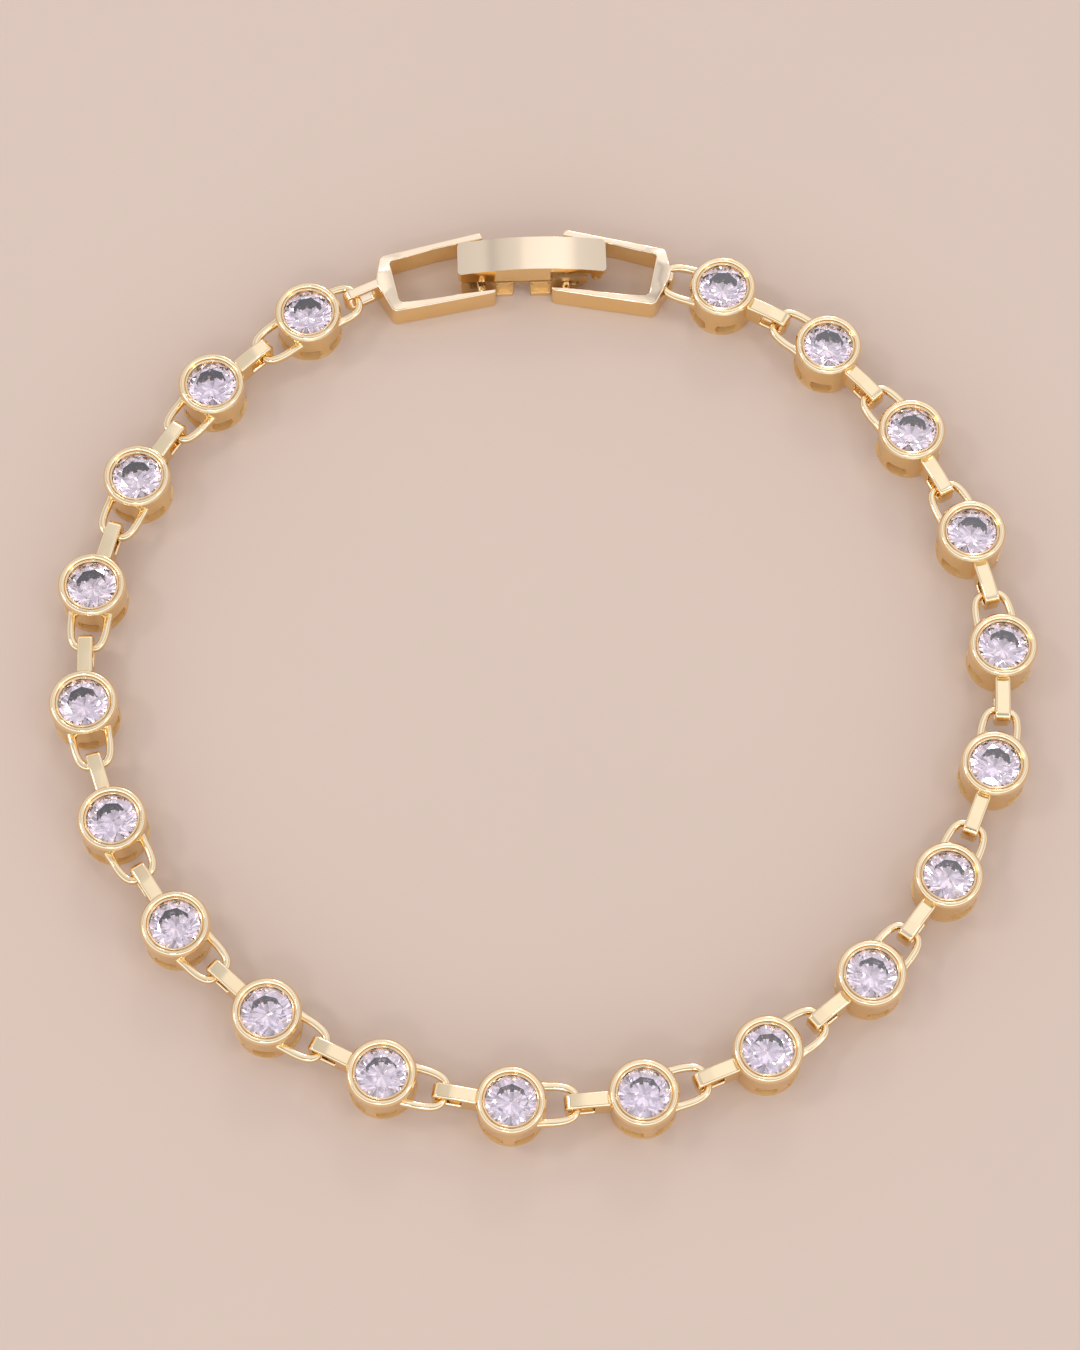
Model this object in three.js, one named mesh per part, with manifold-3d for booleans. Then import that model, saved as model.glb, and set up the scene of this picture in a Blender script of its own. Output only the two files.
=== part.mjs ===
// Solitaire chain bracelet: twenty round stones in tube settings, linked to a fold-over clasp.
// Millimetres, +Z up. It lies flat on z = 0 as a closed loop, clasp towards +Y, origin under its middle.

import * as THREE from 'three';
import { mergeVertices } from 'three/addons/utils/BufferGeometryUtils.js';
import { ConvexGeometry } from 'three/addons/geometries/ConvexGeometry.js';
import Module from 'manifold-3d';

const wasm = await Module();
wasm.setup();

// Driving dimensions: the round stone
const STONE_DIAMETER = 3.5;
const GIRDLE_Z = 2.55;
const TABLE_RATIO = 0.57;
const STAR_RATIO = 0.75;
const LOWER_HALF_RATIO = 0.25;
const CROWN_ANGLE = 32.5;
const PAVILION_ANGLE = 40.8;

// Driving dimensions: the tube setting
const CUP_SIDES = 12;
const CUP_RADIUS = 2.16;
const CUP_BASE_RADIUS = 2.06;
const CUP_HEIGHT = 3.1;
const CUP_SHOULDER_Z = 2.85;
const CUP_CREST_RADIUS = 1.92;
const CUP_BORE_RADIUS = 1.42;
const OPENING_RADIUS = 1.54;
const SEAT_RADIUS = 1.86;
const SEAT_PLAY = 0.09;
const SEAT_SLOPE_DEPTH = 0.36;
const WINDOW_ANGLES = [60, 120, 180, 240, 300];
const WINDOW_WIDTH = 1.4;
const WINDOW_HEIGHT = 0.95;
const WINDOW_Z = 0.66;
const WINDOW_CUT_DEPTH = 1.6;

// Driving dimensions: the flat loop on one side of a setting and the upright strap on the other
const LINK_BEND = 11;
const LOOP_Z = 1.8;
const LOOP_START = 1.25;
const LOOP_HALF_WIDTH = 1.16;
const LOOP_TO_BAR = 3.9;
const SHORT_LOOP_TO_BAR = 3.4;
const LOOP_POWER = 3.6;
const LOOP_STEPS = 7;
const LOOP_FLATTENING = 0.08;
const WIRE_HALF_WIDTH = 0.25;
const WIRE_HALF_HEIGHT = 0.25;
const STRAP_TO_BAR = 4.16;
const STRAP_START = 1.75;
const STRAP_BOTTOM = 0.8;
const STRAP_TOP = 2.6;
const STRAP_WIDTH = 0.98;
const STRAP_WALL = 0.25;
const STRAP_LOWER_CORNER = 0.45;
const STRAP_UPPER_CORNER = 0.4;
const EYE_PLAY = 0.45;
const EYE_START = 3.0;
const EYE_BOTTOM = 1.2;
const EYE_TOP = 2.2;
const EYE_CORNER = 0.22;
const EDGE_BEVEL = 0.1;
const EDGE_BEVEL_DEPTH = 0.2;

// Driving dimensions: the two clasp frames
const FRAME_LENGTH = 7.6;
const FRAME_HEIGHT = 1.95;
const DOME_RISE = 0.5;
const DOME_END_X = 3;
const DOME_HALF_WIDTH = 0.6;
const DOME_FOOT_HALF_WIDTH = 2.3;
const DOME_XS = [-1, 0, 0.6, 1.2, 1.8, 2.4, 3, 9];
const DOME_YS = [-3, -2.3, -1.9, -1.5, -1.1, -0.6, 0.6, 1.1, 1.5, 1.9, 2.3, 3];
const FRAME_HALF_WIDTH = 2.12;
const FRAME_TIP_HALF_WIDTH = 2.3;
const FRAME_INNER_HALF_WIDTH = 1.58;
const FRAME_STEP_HALF_WIDTH = 1.78;
const FRAME_FLARE_START_X = 1.6;
const FRAME_FLARE_END_X = 4.2;
const FRAME_SHOULDER = { x: 0.55, halfWidth: 1.9, corner: 0.3 };
const FRAME_NOSE_HALF_WIDTH = 0.25;
const FRAME_TIP_CORNER = 0.2;
const FRAME_WINDOW_CORNER = 0.25;
const FRAME_END_THICKNESS = 1.2;
const ARM_SLOPE_START_X = 4.1;
const ARM_SLOPE_DROP = 0.5;
const ARM_SLOPE_WIDTH = 0.35;
const BAR_X = 6.75;
const BAR_Z = 1.15;
const BAR_RADIUS = 0.28;
const BAR_EMBEDDING = 0.2;
const HOLDER_WIDTH = 0.62;
const HOLDER_BEVEL = { bevel: 0.08, bevelDepth: 0.14 };
const LEFT_EYE_TURN = 12;
const POCKET = { depth: 0.78, halfWidth: 1.45, bottom: 1.5, top: 2.1 };
const POST = { back: -0.2, front: 0.85, bottom: 0.8, top: 2.4, corner: 0.15, wall: 0.24 };

// Side view of the left frame's upright eye and of the hole in it, as [x, z]
const LEFT_EYE_BODY = [
  [0.4, 0.5],
  [0.4, 2.4],
  [-1.9, 2.45],
  [-2.25, 2.3],
  [-2.37, 1.9],
  [-2.37, 1.2],
  [-2, 0.6],
  [-0.4, 0.5],
];
const LEFT_EYE_HOLE = [
  [-0.3, 1.1],
  [-0.3, 2.1],
  [-1.95, 2.12],
  [-2.12, 1.9],
  [-2.12, 1.3],
  [-1.9, 1],
  [-0.6, 0.95],
];

// Driving dimensions: the fold-over leaves between the frames
const COVER_HALF_LENGTH = 4.9;
const COVER_HALF_WIDTH = 1.19;
const COVER_TOP = 3.4;
const COVER_RISE = 0.65;
const COVER_THICKNESS = 0.5;
const COVER_WALL = 0.29;
const COVER_WALL_BOTTOM = 1.75;
const COVER_WALL_END_X = 1.2;
const COVER_HOLLOW_BOTTOM = 1;
const COVER_BEVEL = { bevel: 0.1, bevelDepth: 0.12 };
const BASE_HALF_WIDTH = 1.14;
const BASE_CHEEK = 0.28;
const BASE_FLOOR = 0.35;
const BASE_TOP = 1.45;
const BASE_RAISED_TOP = 1.95;
const BASE_RAISED_X = { start: 1.35, end: 3.7 };
const BASE_X = { start: -4.7, end: 1.9 };
const NOTCH = { bottom: 0.65, top: 0.9, corner: 0.25 };
const BAR_HOLE = { bottom: 0.8, top: 1.5, corner: 0.2 };
const CHEEK_RISE = [[2.3, 0.5], [3.1, 0.55], [3.85, 1.45]];
const CHANNEL_X = { start: -4.4, end: 1.75 };
const CHANNEL_RISE = [[2.2, 0.77], [3.2, 0.8], [3.5, 1.2]];
const BLOCK_HALF_WIDTH = 1.32;
const BLOCK_TOP = 1.4;
const BLOCK_ROOT_HALF_WIDTH = 1.04;
const LEDGE_HALF_WIDTH = 1.42;
const LEDGE_TOP = 0.35;
const LEFT_BLOCK = { start: -2.4, end: -1.3 };
const RIGHT_BLOCK = { start: -0.1, end: 1.2 };
const GAP_BETWEEN_BLOCKS = { start: -1.25, end: -0.15, halfWidth: 0.4 };
const TONGUE_START_X = 3.65;
const HINGE_X = 4.25;
const HINGE_Z = 1.85;
const KNUCKLE_RADIUS = 0.36;
const KNUCKLE_DIAGONAL = 0.26;
const LUG_TOP = { front: 2.5, back: 2.6 };
const TONGUE_HALF_WIDTH = 0.5;
const LUG_GAP = 0.06;
const PIN_RADIUS = 0.17;
const PIN_HOLE_RADIUS = 0.22;
const PIN_LENGTH = 2.2;
const LEFT_BAR_X = -3.66;
const RIGHT_BAR_X = 2.54;
const BAR_PLAY = 0.57;

// Sides of round bars and holes, how far a cut stands proud of a face, and a reach past every piece
const ROD_SIDES = 10;
const HOLE_SIDES = 12;
const CUT_PLAY = 0.01;
const BEYOND = 5;

// Where the clasp lies, and the heading of each link in degrees as the chain runs clockwise from it
const FIRST_BAR = { x: 8.29, y: 28.68 };
const RIGHT_FRAME = { x: 8.62, y: 28.64, turn: 169.15 };
const LEFT_FRAME = { x: -10.77, y: 28.07, turn: 13.7 };
const LEAVES = { x: -0.55, y: 29.78, turn: 1.8 };
const LINK_HEADINGS = [
  -17, -36.5, -51.5, -64.5, -81, -100.5, -115.5, -129.5, -146, -163.5,
  -179, -195, -211.5, -226, -241, -257.5, -274.5, -292, -307, -321.5,
];

const radians = THREE.MathUtils.degToRad;

// Materials
function metal(colour, roughness) {
  return new THREE.MeshStandardMaterial({ color: colour, metalness: 1, roughness });
}

const goldColour = 0xe8cf9a;
const leafColour = 0xd8b070;
const stoneColour = 0xd9cfe0;

// Joining and cutting
function toSolid(geometry) {
  const bare = new THREE.BufferGeometry();
  bare.setAttribute('position', geometry.getAttribute('position').clone());
  if (geometry.index) {
    bare.setIndex(geometry.index.clone());
  }
  const merged = mergeVertices(bare, 1e-4);
  const mesh = new wasm.Mesh({
    numProp: 3,
    vertProperties: new Float32Array(merged.getAttribute('position').array),
    triVerts: new Uint32Array(merged.index.array),
  });
  return new wasm.Manifold(mesh);
}

function toGeometry(solid) {
  const mesh = solid.getMesh();
  const geometry = new THREE.BufferGeometry();
  geometry.setAttribute('position', new THREE.BufferAttribute(new Float32Array(mesh.vertProperties), 3));
  geometry.setIndex(new THREE.BufferAttribute(new Uint32Array(mesh.triVerts), 1));
  geometry.computeVertexNormals();
  return geometry;
}

// Shapes used by several pieces
function box(xMin, xMax, yMin, yMax, zMin, zMax) {
  const geometry = new THREE.BoxGeometry(xMax - xMin, yMax - yMin, zMax - zMin);
  geometry.translate((xMin + xMax) / 2, (yMin + yMax) / 2, (zMin + zMax) / 2);
  return toSolid(geometry);
}

function outline(points) {
  return new THREE.Shape(points.map(([x, y]) => new THREE.Vector2(x, y)));
}

// A side view in x and z, pushed out to a width across y. A bevel narrows its two faces.
function sideProfile(points, width, { holes = [], bevel = 0, bevelDepth = 0 } = {}) {
  const shape = outline(points);
  shape.holes = holes.map((hole) => outline(hole));
  const geometry = new THREE.ExtrudeGeometry(shape, {
    depth: width - 2 * bevelDepth,
    steps: 1,
    bevelEnabled: bevel > 0,
    bevelSize: bevel,
    bevelThickness: bevelDepth,
    bevelOffset: -bevel,
    bevelSegments: 1,
  });
  geometry.translate(0, 0, bevelDepth - width / 2);
  geometry.rotateX(Math.PI / 2);
  return toSolid(geometry);
}

// A plan view in x and y, raised to a height
function plate(points, height) {
  return toSolid(new THREE.ExtrudeGeometry(outline(points), { depth: height, bevelEnabled: false }));
}

function rodAcross(x, z, radius, length, sides) {
  const geometry = new THREE.CylinderGeometry(radius, radius, length, sides);
  geometry.translate(x, 0, z);
  return toSolid(geometry);
}

// A round brilliant: table, eight star, eight bezel and sixteen upper facets over a pointed pavilion
function stoneGeometry() {
  const radius = STONE_DIAMETER / 2;
  const crownSlope = Math.tan(radians(CROWN_ANGLE));
  const pavilionSlope = Math.tan(radians(PAVILION_ANGLE));
  const halfTurn = Math.PI / 8;
  const ring = (count, ringRadius, z, start) =>
    Array.from({ length: count }, (_, i) => {
      const angle = start + (i * 2 * Math.PI) / count;
      return new THREE.Vector3(ringRadius * Math.cos(angle), ringRadius * Math.sin(angle), z);
    });
  const onCrown = (reach) => GIRDLE_Z + (radius - reach) * crownSlope;
  const onPavilion = (reach) => GIRDLE_Z - (radius - reach) * pavilionSlope;
  const starRadius = STAR_RATIO * radius;
  const lowerRadius = LOWER_HALF_RATIO * radius;
  return new ConvexGeometry([
    ...ring(8, TABLE_RATIO * radius, onCrown(TABLE_RATIO * radius), 0),
    ...ring(8, starRadius, onCrown(starRadius * Math.cos(halfTurn)), halfTurn),
    ...ring(16, radius, GIRDLE_Z, 0),
    ...ring(8, lowerRadius, onPavilion(lowerRadius * Math.cos(halfTurn)), halfTurn),
    new THREE.Vector3(0, 0, onPavilion(0)),
  ]);
}

// The tube of a setting: a turned wall with a rolled rim, a seat for the girdle and pierced windows
function cupSolid() {
  const profile = [
    [CUP_BASE_RADIUS, 0],
    [CUP_RADIUS, CUP_SHOULDER_Z],
    [CUP_CREST_RADIUS, CUP_HEIGHT],
    [OPENING_RADIUS, CUP_SHOULDER_Z],
    [SEAT_RADIUS, GIRDLE_Z + SEAT_PLAY],
    [SEAT_RADIUS, GIRDLE_Z - SEAT_PLAY],
    [CUP_BORE_RADIUS, GIRDLE_Z - SEAT_PLAY - SEAT_SLOPE_DEPTH],
    [CUP_BORE_RADIUS, 0],
    [CUP_BASE_RADIUS, 0],
  ].map(([r, z]) => new THREE.Vector2(r, z));
  const turned = new THREE.LatheGeometry(profile, CUP_SIDES);
  turned.rotateX(Math.PI / 2);
  let cup = toSolid(turned);
  for (const angle of WINDOW_ANGLES) {
    const cutter = new THREE.BoxGeometry(WINDOW_CUT_DEPTH, WINDOW_WIDTH, WINDOW_HEIGHT);
    cutter.translate(CUP_BASE_RADIUS, 0, WINDOW_Z);
    cutter.rotateZ(radians(angle));
    cup = cup.subtract(toSolid(cutter));
  }
  return cup;
}

// The route of a flat loop: a half superellipse from one side of the wall to the other
class LoopRoute extends THREE.Curve {
  constructor(reach) {
    super();
    this.length = reach - LOOP_START;
  }

  getPoint(t, target = new THREE.Vector3()) {
    const angle = Math.PI * t;
    const along = Math.max(Math.sin(angle), 0) ** (2 / LOOP_POWER);
    const across = Math.abs(Math.cos(angle)) ** (2 / LOOP_POWER) * Math.sign(Math.cos(angle));
    return target.set(LOOP_START + this.length * along, LOOP_HALF_WIDTH * across, LOOP_Z);
  }
}

function flatLoop(toBar, direction) {
  const section = outline([
    [WIRE_HALF_HEIGHT, WIRE_HALF_WIDTH / 2],
    [0, WIRE_HALF_WIDTH],
    [-WIRE_HALF_HEIGHT, WIRE_HALF_WIDTH / 2],
    [-WIRE_HALF_HEIGHT, -WIRE_HALF_WIDTH / 2],
    [0, -WIRE_HALF_WIDTH],
    [WIRE_HALF_HEIGHT, -WIRE_HALF_WIDTH / 2],
  ]);
  const geometry = new THREE.ExtrudeGeometry(section, {
    steps: LOOP_STEPS,
    extrudePath: new LoopRoute(toBar + LOOP_FLATTENING),
    bevelEnabled: false,
  });
  geometry.rotateZ(radians(direction));
  return toSolid(geometry);
}

// The upright strap: a narrow plate with a long eye, its end rounded
function uprightStrap(direction) {
  const eyeEnd = STRAP_TO_BAR + EYE_PLAY;
  const end = eyeEnd + STRAP_WALL;
  const body = [
    [STRAP_START, STRAP_BOTTOM],
    [end - STRAP_LOWER_CORNER, STRAP_BOTTOM],
    [end, STRAP_BOTTOM + STRAP_LOWER_CORNER],
    [end, STRAP_TOP - STRAP_UPPER_CORNER],
    [end - STRAP_UPPER_CORNER, STRAP_TOP],
    [STRAP_START, STRAP_TOP],
  ];
  const eye = [
    [EYE_START, EYE_BOTTOM],
    [eyeEnd - EYE_CORNER, EYE_BOTTOM],
    [eyeEnd, EYE_BOTTOM + EYE_CORNER],
    [eyeEnd, EYE_TOP - EYE_CORNER],
    [eyeEnd - EYE_CORNER, EYE_TOP],
    [EYE_START, EYE_TOP],
  ];
  const bevels = { bevel: EDGE_BEVEL, bevelDepth: EDGE_BEVEL_DEPTH };
  const strap = sideProfile(body, STRAP_WIDTH, { holes: [eye], ...bevels });
  return strap.rotate([0, 0, direction]);
}

function settingGeometry(lastLink) {
  const half = LINK_BEND / 2;
  const cup = cupSolid().add(flatLoop(LOOP_TO_BAR, 180 + half));
  const other = lastLink ? flatLoop(SHORT_LOOP_TO_BAR, -half) : uprightStrap(-half);
  return toGeometry(cup.add(other));
}

// The top of a frame: level over the arms, with a soft dome over the middle of the outer end
function frameTop(x, y) {
  const along = 1 - THREE.MathUtils.smoothstep(x, 0, DOME_END_X);
  const across = 1 - THREE.MathUtils.smoothstep(Math.abs(y), DOME_HALF_WIDTH, DOME_FOOT_HALF_WIDTH);
  return FRAME_HEIGHT + DOME_RISE * along * across;
}

// A block under a curved top, whose height is worked out at each crossing of its grid
function relief(xs, ys, height) {
  const across = xs.length - 1;
  const deep = ys.length - 1;
  const geometry = new THREE.BoxGeometry(across, deep, 1, across, deep, 1);
  const position = geometry.getAttribute('position');
  for (let i = 0; i < position.count; i += 1) {
    const x = xs[Math.round(position.getX(i) + across / 2)];
    const y = ys[Math.round(position.getY(i) + deep / 2)];
    position.setXYZ(i, x, y, position.getZ(i) > 0 ? height(x, y) : -BEYOND);
  }
  return toSolid(geometry);
}

// The slope that thins the top of the arm on one side towards its tip, on its inner edge
function armSlope(sign) {
  const end = FRAME_LENGTH + CUT_PLAY;
  const above = FRAME_HEIGHT + CUT_PLAY;
  const inner = FRAME_STEP_HALF_WIDTH - CUT_PLAY;
  return toSolid(new ConvexGeometry([
    new THREE.Vector3(ARM_SLOPE_START_X, inner * sign, above),
    new THREE.Vector3(end, inner * sign, above),
    new THREE.Vector3(end, (inner + ARM_SLOPE_WIDTH) * sign, above),
    new THREE.Vector3(end, inner * sign, FRAME_HEIGHT - ARM_SLOPE_DROP),
  ]));
}

// A clasp frame: two arms and a cross bar, joined by a house-shaped outer end, one arm sloped at its tip
function frameBody(slopedSide) {
  const side = (sign) => [
    [0, FRAME_NOSE_HALF_WIDTH * sign],
    [FRAME_SHOULDER.x, FRAME_SHOULDER.halfWidth * sign],
    [FRAME_SHOULDER.x + FRAME_SHOULDER.corner, FRAME_HALF_WIDTH * sign],
    [FRAME_LENGTH - FRAME_TIP_CORNER, FRAME_TIP_HALF_WIDTH * sign],
    [FRAME_LENGTH, (FRAME_TIP_HALF_WIDTH - FRAME_TIP_CORNER) * sign],
    [FRAME_LENGTH, FRAME_STEP_HALF_WIDTH * sign],
    [FRAME_FLARE_END_X, FRAME_STEP_HALF_WIDTH * sign],
    [FRAME_FLARE_START_X, FRAME_INNER_HALF_WIDTH * sign],
    [FRAME_END_THICKNESS + FRAME_WINDOW_CORNER, FRAME_INNER_HALF_WIDTH * sign],
    [FRAME_END_THICKNESS, (FRAME_INNER_HALF_WIDTH - FRAME_WINDOW_CORNER) * sign],
  ];
  const plan = plate([...side(-1), ...side(1).reverse()], FRAME_HEIGHT + DOME_RISE);
  const arms = plan.intersect(relief(DOME_XS, DOME_YS, frameTop)).subtract(armSlope(slopedSide));
  const barLength = 2 * (FRAME_STEP_HALF_WIDTH + BAR_EMBEDDING);
  return arms.add(rodAcross(BAR_X, BAR_Z, BAR_RADIUS, barLength, ROD_SIDES));
}

// The left frame ends in an upright eye, turned towards the last link, whose second loop it passes through
function leftFrameGeometry() {
  const loop = sideProfile(LEFT_EYE_BODY, HOLDER_WIDTH, { holes: [LEFT_EYE_HOLE], ...HOLDER_BEVEL });
  return toGeometry(frameBody(-1).add(loop.rotate([0, 0, LEFT_EYE_TURN])));
}

// The right frame's outer end is hollowed, with a post that holds the first link's loop
function rightFrameGeometry() {
  const { back, front, bottom, top, corner, wall } = POST;
  const pocket = box(-BEYOND, POCKET.depth, -POCKET.halfWidth, POCKET.halfWidth, POCKET.bottom, POCKET.top);
  const post = [
    [front, bottom],
    [front, top],
    [back + corner, top],
    [back, top - corner],
    [back, bottom + corner],
    [back + corner, bottom],
  ];
  const room = [
    [back + wall, POCKET.bottom],
    [back + wall, POCKET.top],
    [POCKET.depth, POCKET.top],
    [POCKET.depth, POCKET.bottom],
  ];
  const holder = sideProfile(post, HOLDER_WIDTH, { holes: [room] });
  return toGeometry(frameBody(1).subtract(pocket).add(holder));
}

// The lower leaf: a channel that holds both cross bars and carries the hinge of the cover
function baseGeometry() {
  const notchStart = LEFT_BAR_X - BAR_PLAY;
  const notchEnd = LEFT_BAR_X + BAR_PLAY;
  const holeStart = RIGHT_BAR_X - BAR_PLAY;
  const holeEnd = RIGHT_BAR_X + BAR_PLAY;
  const { bottom, top, corner } = BAR_HOLE;
  const cheeks = [
    [BASE_X.start, 0],
    [BASE_X.end, 0],
    ...CHEEK_RISE,
    [HINGE_X, HINGE_Z - KNUCKLE_RADIUS],
    [HINGE_X + KNUCKLE_DIAGONAL, HINGE_Z - KNUCKLE_DIAGONAL],
    [HINGE_X + KNUCKLE_RADIUS, HINGE_Z],
    [HINGE_X + KNUCKLE_DIAGONAL, HINGE_Z + KNUCKLE_DIAGONAL],
    [HINGE_X, HINGE_Z + KNUCKLE_RADIUS],
    [BASE_RAISED_X.end, BASE_RAISED_TOP],
    [BASE_RAISED_X.start, BASE_RAISED_TOP],
    [BASE_RAISED_X.start, BASE_TOP],
    [notchEnd, BASE_TOP],
    [notchEnd, NOTCH.top],
    [notchEnd - NOTCH.corner, NOTCH.bottom],
    [notchStart + NOTCH.corner, NOTCH.bottom],
    [notchStart, NOTCH.top],
    [notchStart, BASE_TOP],
    [BASE_X.start, BASE_TOP],
  ];
  const barHole = [
    [holeStart, bottom + corner],
    [holeStart, top - corner],
    [holeStart + corner, top],
    [holeEnd - corner, top],
    [holeEnd, top - corner],
    [holeEnd, bottom + corner],
    [holeEnd - corner, bottom],
    [holeStart + corner, bottom],
  ];
  const channel = [
    [CHANNEL_X.start, BASE_FLOOR],
    [CHANNEL_X.end, BASE_FLOOR],
    ...CHANNEL_RISE,
    [CHANNEL_RISE.at(-1)[0], BEYOND],
    [CHANNEL_X.start, BEYOND],
  ];
  const channelWidth = 2 * (BASE_HALF_WIDTH - BASE_CHEEK);
  let leaf = sideProfile(cheeks, 2 * BASE_HALF_WIDTH, { holes: [barHole] });
  leaf = leaf.subtract(sideProfile(channel, channelWidth));
  const gap = GAP_BETWEEN_BLOCKS;
  for (const sign of [-1, 1]) {
    const sides = (inner, outer) => [inner * sign, outer * sign].sort((a, b) => a - b);
    leaf = leaf.subtract(box(TONGUE_START_X, BEYOND, ...sides(TONGUE_HALF_WIDTH, BEYOND), 0, BEYOND));
    leaf = leaf.subtract(box(gap.start, gap.end, ...sides(gap.halfWidth, BEYOND), -BEYOND, BEYOND));
    for (const { start, end } of [LEFT_BLOCK, RIGHT_BLOCK]) {
      leaf = leaf.add(box(start, end, ...sides(BLOCK_ROOT_HALF_WIDTH, BLOCK_HALF_WIDTH), 0, BLOCK_TOP));
      leaf = leaf.add(box(start, end, ...sides(BLOCK_ROOT_HALF_WIDTH, LEDGE_HALF_WIDTH), 0, LEDGE_TOP));
    }
  }
  return toGeometry(leaf.subtract(rodAcross(HINGE_X, HINGE_Z, PIN_HOLE_RADIUS, BEYOND, HOLE_SIDES)));
}

// The cover: an arched leaf with a hollow underside, side walls over the free end and two hinge lugs
function archPoints(drop, from, to, steps) {
  return Array.from({ length: steps + 1 }, (_, i) => {
    const x = from + ((to - from) * i) / steps;
    return [x, COVER_TOP - drop - COVER_RISE * (x / COVER_HALF_LENGTH) ** 2];
  });
}

function coverGeometry() {
  const hollowStart = -COVER_HALF_LENGTH + COVER_WALL;
  const side = [
    [-COVER_HALF_LENGTH, COVER_WALL_BOTTOM],
    [COVER_WALL_END_X, COVER_WALL_BOTTOM],
    ...archPoints(COVER_THICKNESS, COVER_WALL_END_X, COVER_HALF_LENGTH, 4),
    ...archPoints(0, COVER_HALF_LENGTH, -COVER_HALF_LENGTH, 10),
  ];
  const hollow = [
    [hollowStart, COVER_HOLLOW_BOTTOM],
    [BEYOND, COVER_HOLLOW_BOTTOM],
    ...archPoints(COVER_THICKNESS, BEYOND, hollowStart, 9),
  ];
  const lug = [
    [HINGE_X - KNUCKLE_DIAGONAL, HINGE_Z - KNUCKLE_DIAGONAL],
    [HINGE_X, HINGE_Z - KNUCKLE_RADIUS],
    [HINGE_X + KNUCKLE_DIAGONAL, HINGE_Z - KNUCKLE_DIAGONAL],
    [HINGE_X + KNUCKLE_RADIUS, HINGE_Z],
    [HINGE_X + KNUCKLE_RADIUS, LUG_TOP.front],
    [HINGE_X - KNUCKLE_RADIUS, LUG_TOP.back],
    [HINGE_X - KNUCKLE_RADIUS, HINGE_Z],
  ];
  const hollowWidth = 2 * (COVER_HALF_WIDTH - COVER_WALL);
  let cover = sideProfile(side, 2 * COVER_HALF_WIDTH, COVER_BEVEL);
  cover = cover.subtract(sideProfile(hollow, hollowWidth));
  const lugs = sideProfile(lug, 2 * BASE_HALF_WIDTH);
  const lugGap = TONGUE_HALF_WIDTH + LUG_GAP;
  cover = cover.add(lugs.subtract(box(0, BEYOND, -lugGap, lugGap, 0, BEYOND)));
  return toGeometry(cover.subtract(rodAcross(HINGE_X, HINGE_Z, PIN_HOLE_RADIUS, BEYOND, HOLE_SIDES)));
}

function pinGeometry() {
  const geometry = new THREE.CylinderGeometry(PIN_RADIUS, PIN_RADIUS, PIN_LENGTH, ROD_SIDES);
  geometry.translate(HINGE_X, 0, HINGE_Z);
  return geometry;
}

// Assembly
const bracelet = new THREE.Group();

function place(name, geometry, material, { x, y, turn }) {
  const mesh = new THREE.Mesh(geometry, material);
  mesh.name = name;
  mesh.position.set(x, y, 0);
  mesh.rotation.z = radians(turn);
  bracelet.add(mesh);
}

function addChain() {
  const strapSetting = settingGeometry(false);
  const lastSetting = settingGeometry(true);
  const stone = stoneGeometry();
  const bar = { ...FIRST_BAR };
  LINK_HEADINGS.forEach((heading, i) => {
    const inward = radians(heading);
    const outward = radians(heading - LINK_BEND);
    const spot = {
      x: bar.x + LOOP_TO_BAR * Math.cos(inward),
      y: bar.y + LOOP_TO_BAR * Math.sin(inward),
      turn: heading - LINK_BEND / 2,
    };
    const number = String(i + 1).padStart(2, '0');
    const setting = i === LINK_HEADINGS.length - 1 ? lastSetting : strapSetting;
    place(`setting_${number}`, setting, metal(goldColour, 0.16), spot);
    const stoneLook = new THREE.MeshStandardMaterial({ color: stoneColour, metalness: 0, roughness: 0.05 });
    place(`stone_${number}`, stone, stoneLook, spot);
    bar.x = spot.x + STRAP_TO_BAR * Math.cos(outward);
    bar.y = spot.y + STRAP_TO_BAR * Math.sin(outward);
  });
}

function addClasp() {
  place('clasp_frame_right', rightFrameGeometry(), metal(goldColour, 0.15), RIGHT_FRAME);
  place('clasp_frame_left', leftFrameGeometry(), metal(goldColour, 0.15), LEFT_FRAME);
  place('clasp_base', baseGeometry(), metal(leafColour, 0.35), LEAVES);
  place('clasp_cover', coverGeometry(), metal(goldColour, 0.15), LEAVES);
  place('hinge_pin', pinGeometry(), metal(goldColour, 0.25), LEAVES);
}

addChain();
addClasp();

const span = new THREE.Box3().setFromObject(bracelet, true);
const middle = span.getCenter(new THREE.Vector3());
bracelet.position.set(-middle.x, -middle.y, -span.min.z);
bracelet.updateMatrixWorld(true);

export default bracelet;
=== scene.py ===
"""Looks of the solitaire chain bracelet: fine meshes, finishes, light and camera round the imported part.

Shapes are worked out in millimetres in each piece's own axes, then laid at their place in metres.
"""

import logging
import math
from collections.abc import Sequence
from dataclasses import dataclass, field
from enum import Enum

import bmesh
import bpy
from mathutils import Euler, Matrix, Vector
from mathutils.geometry import tessellate_polygon


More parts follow.
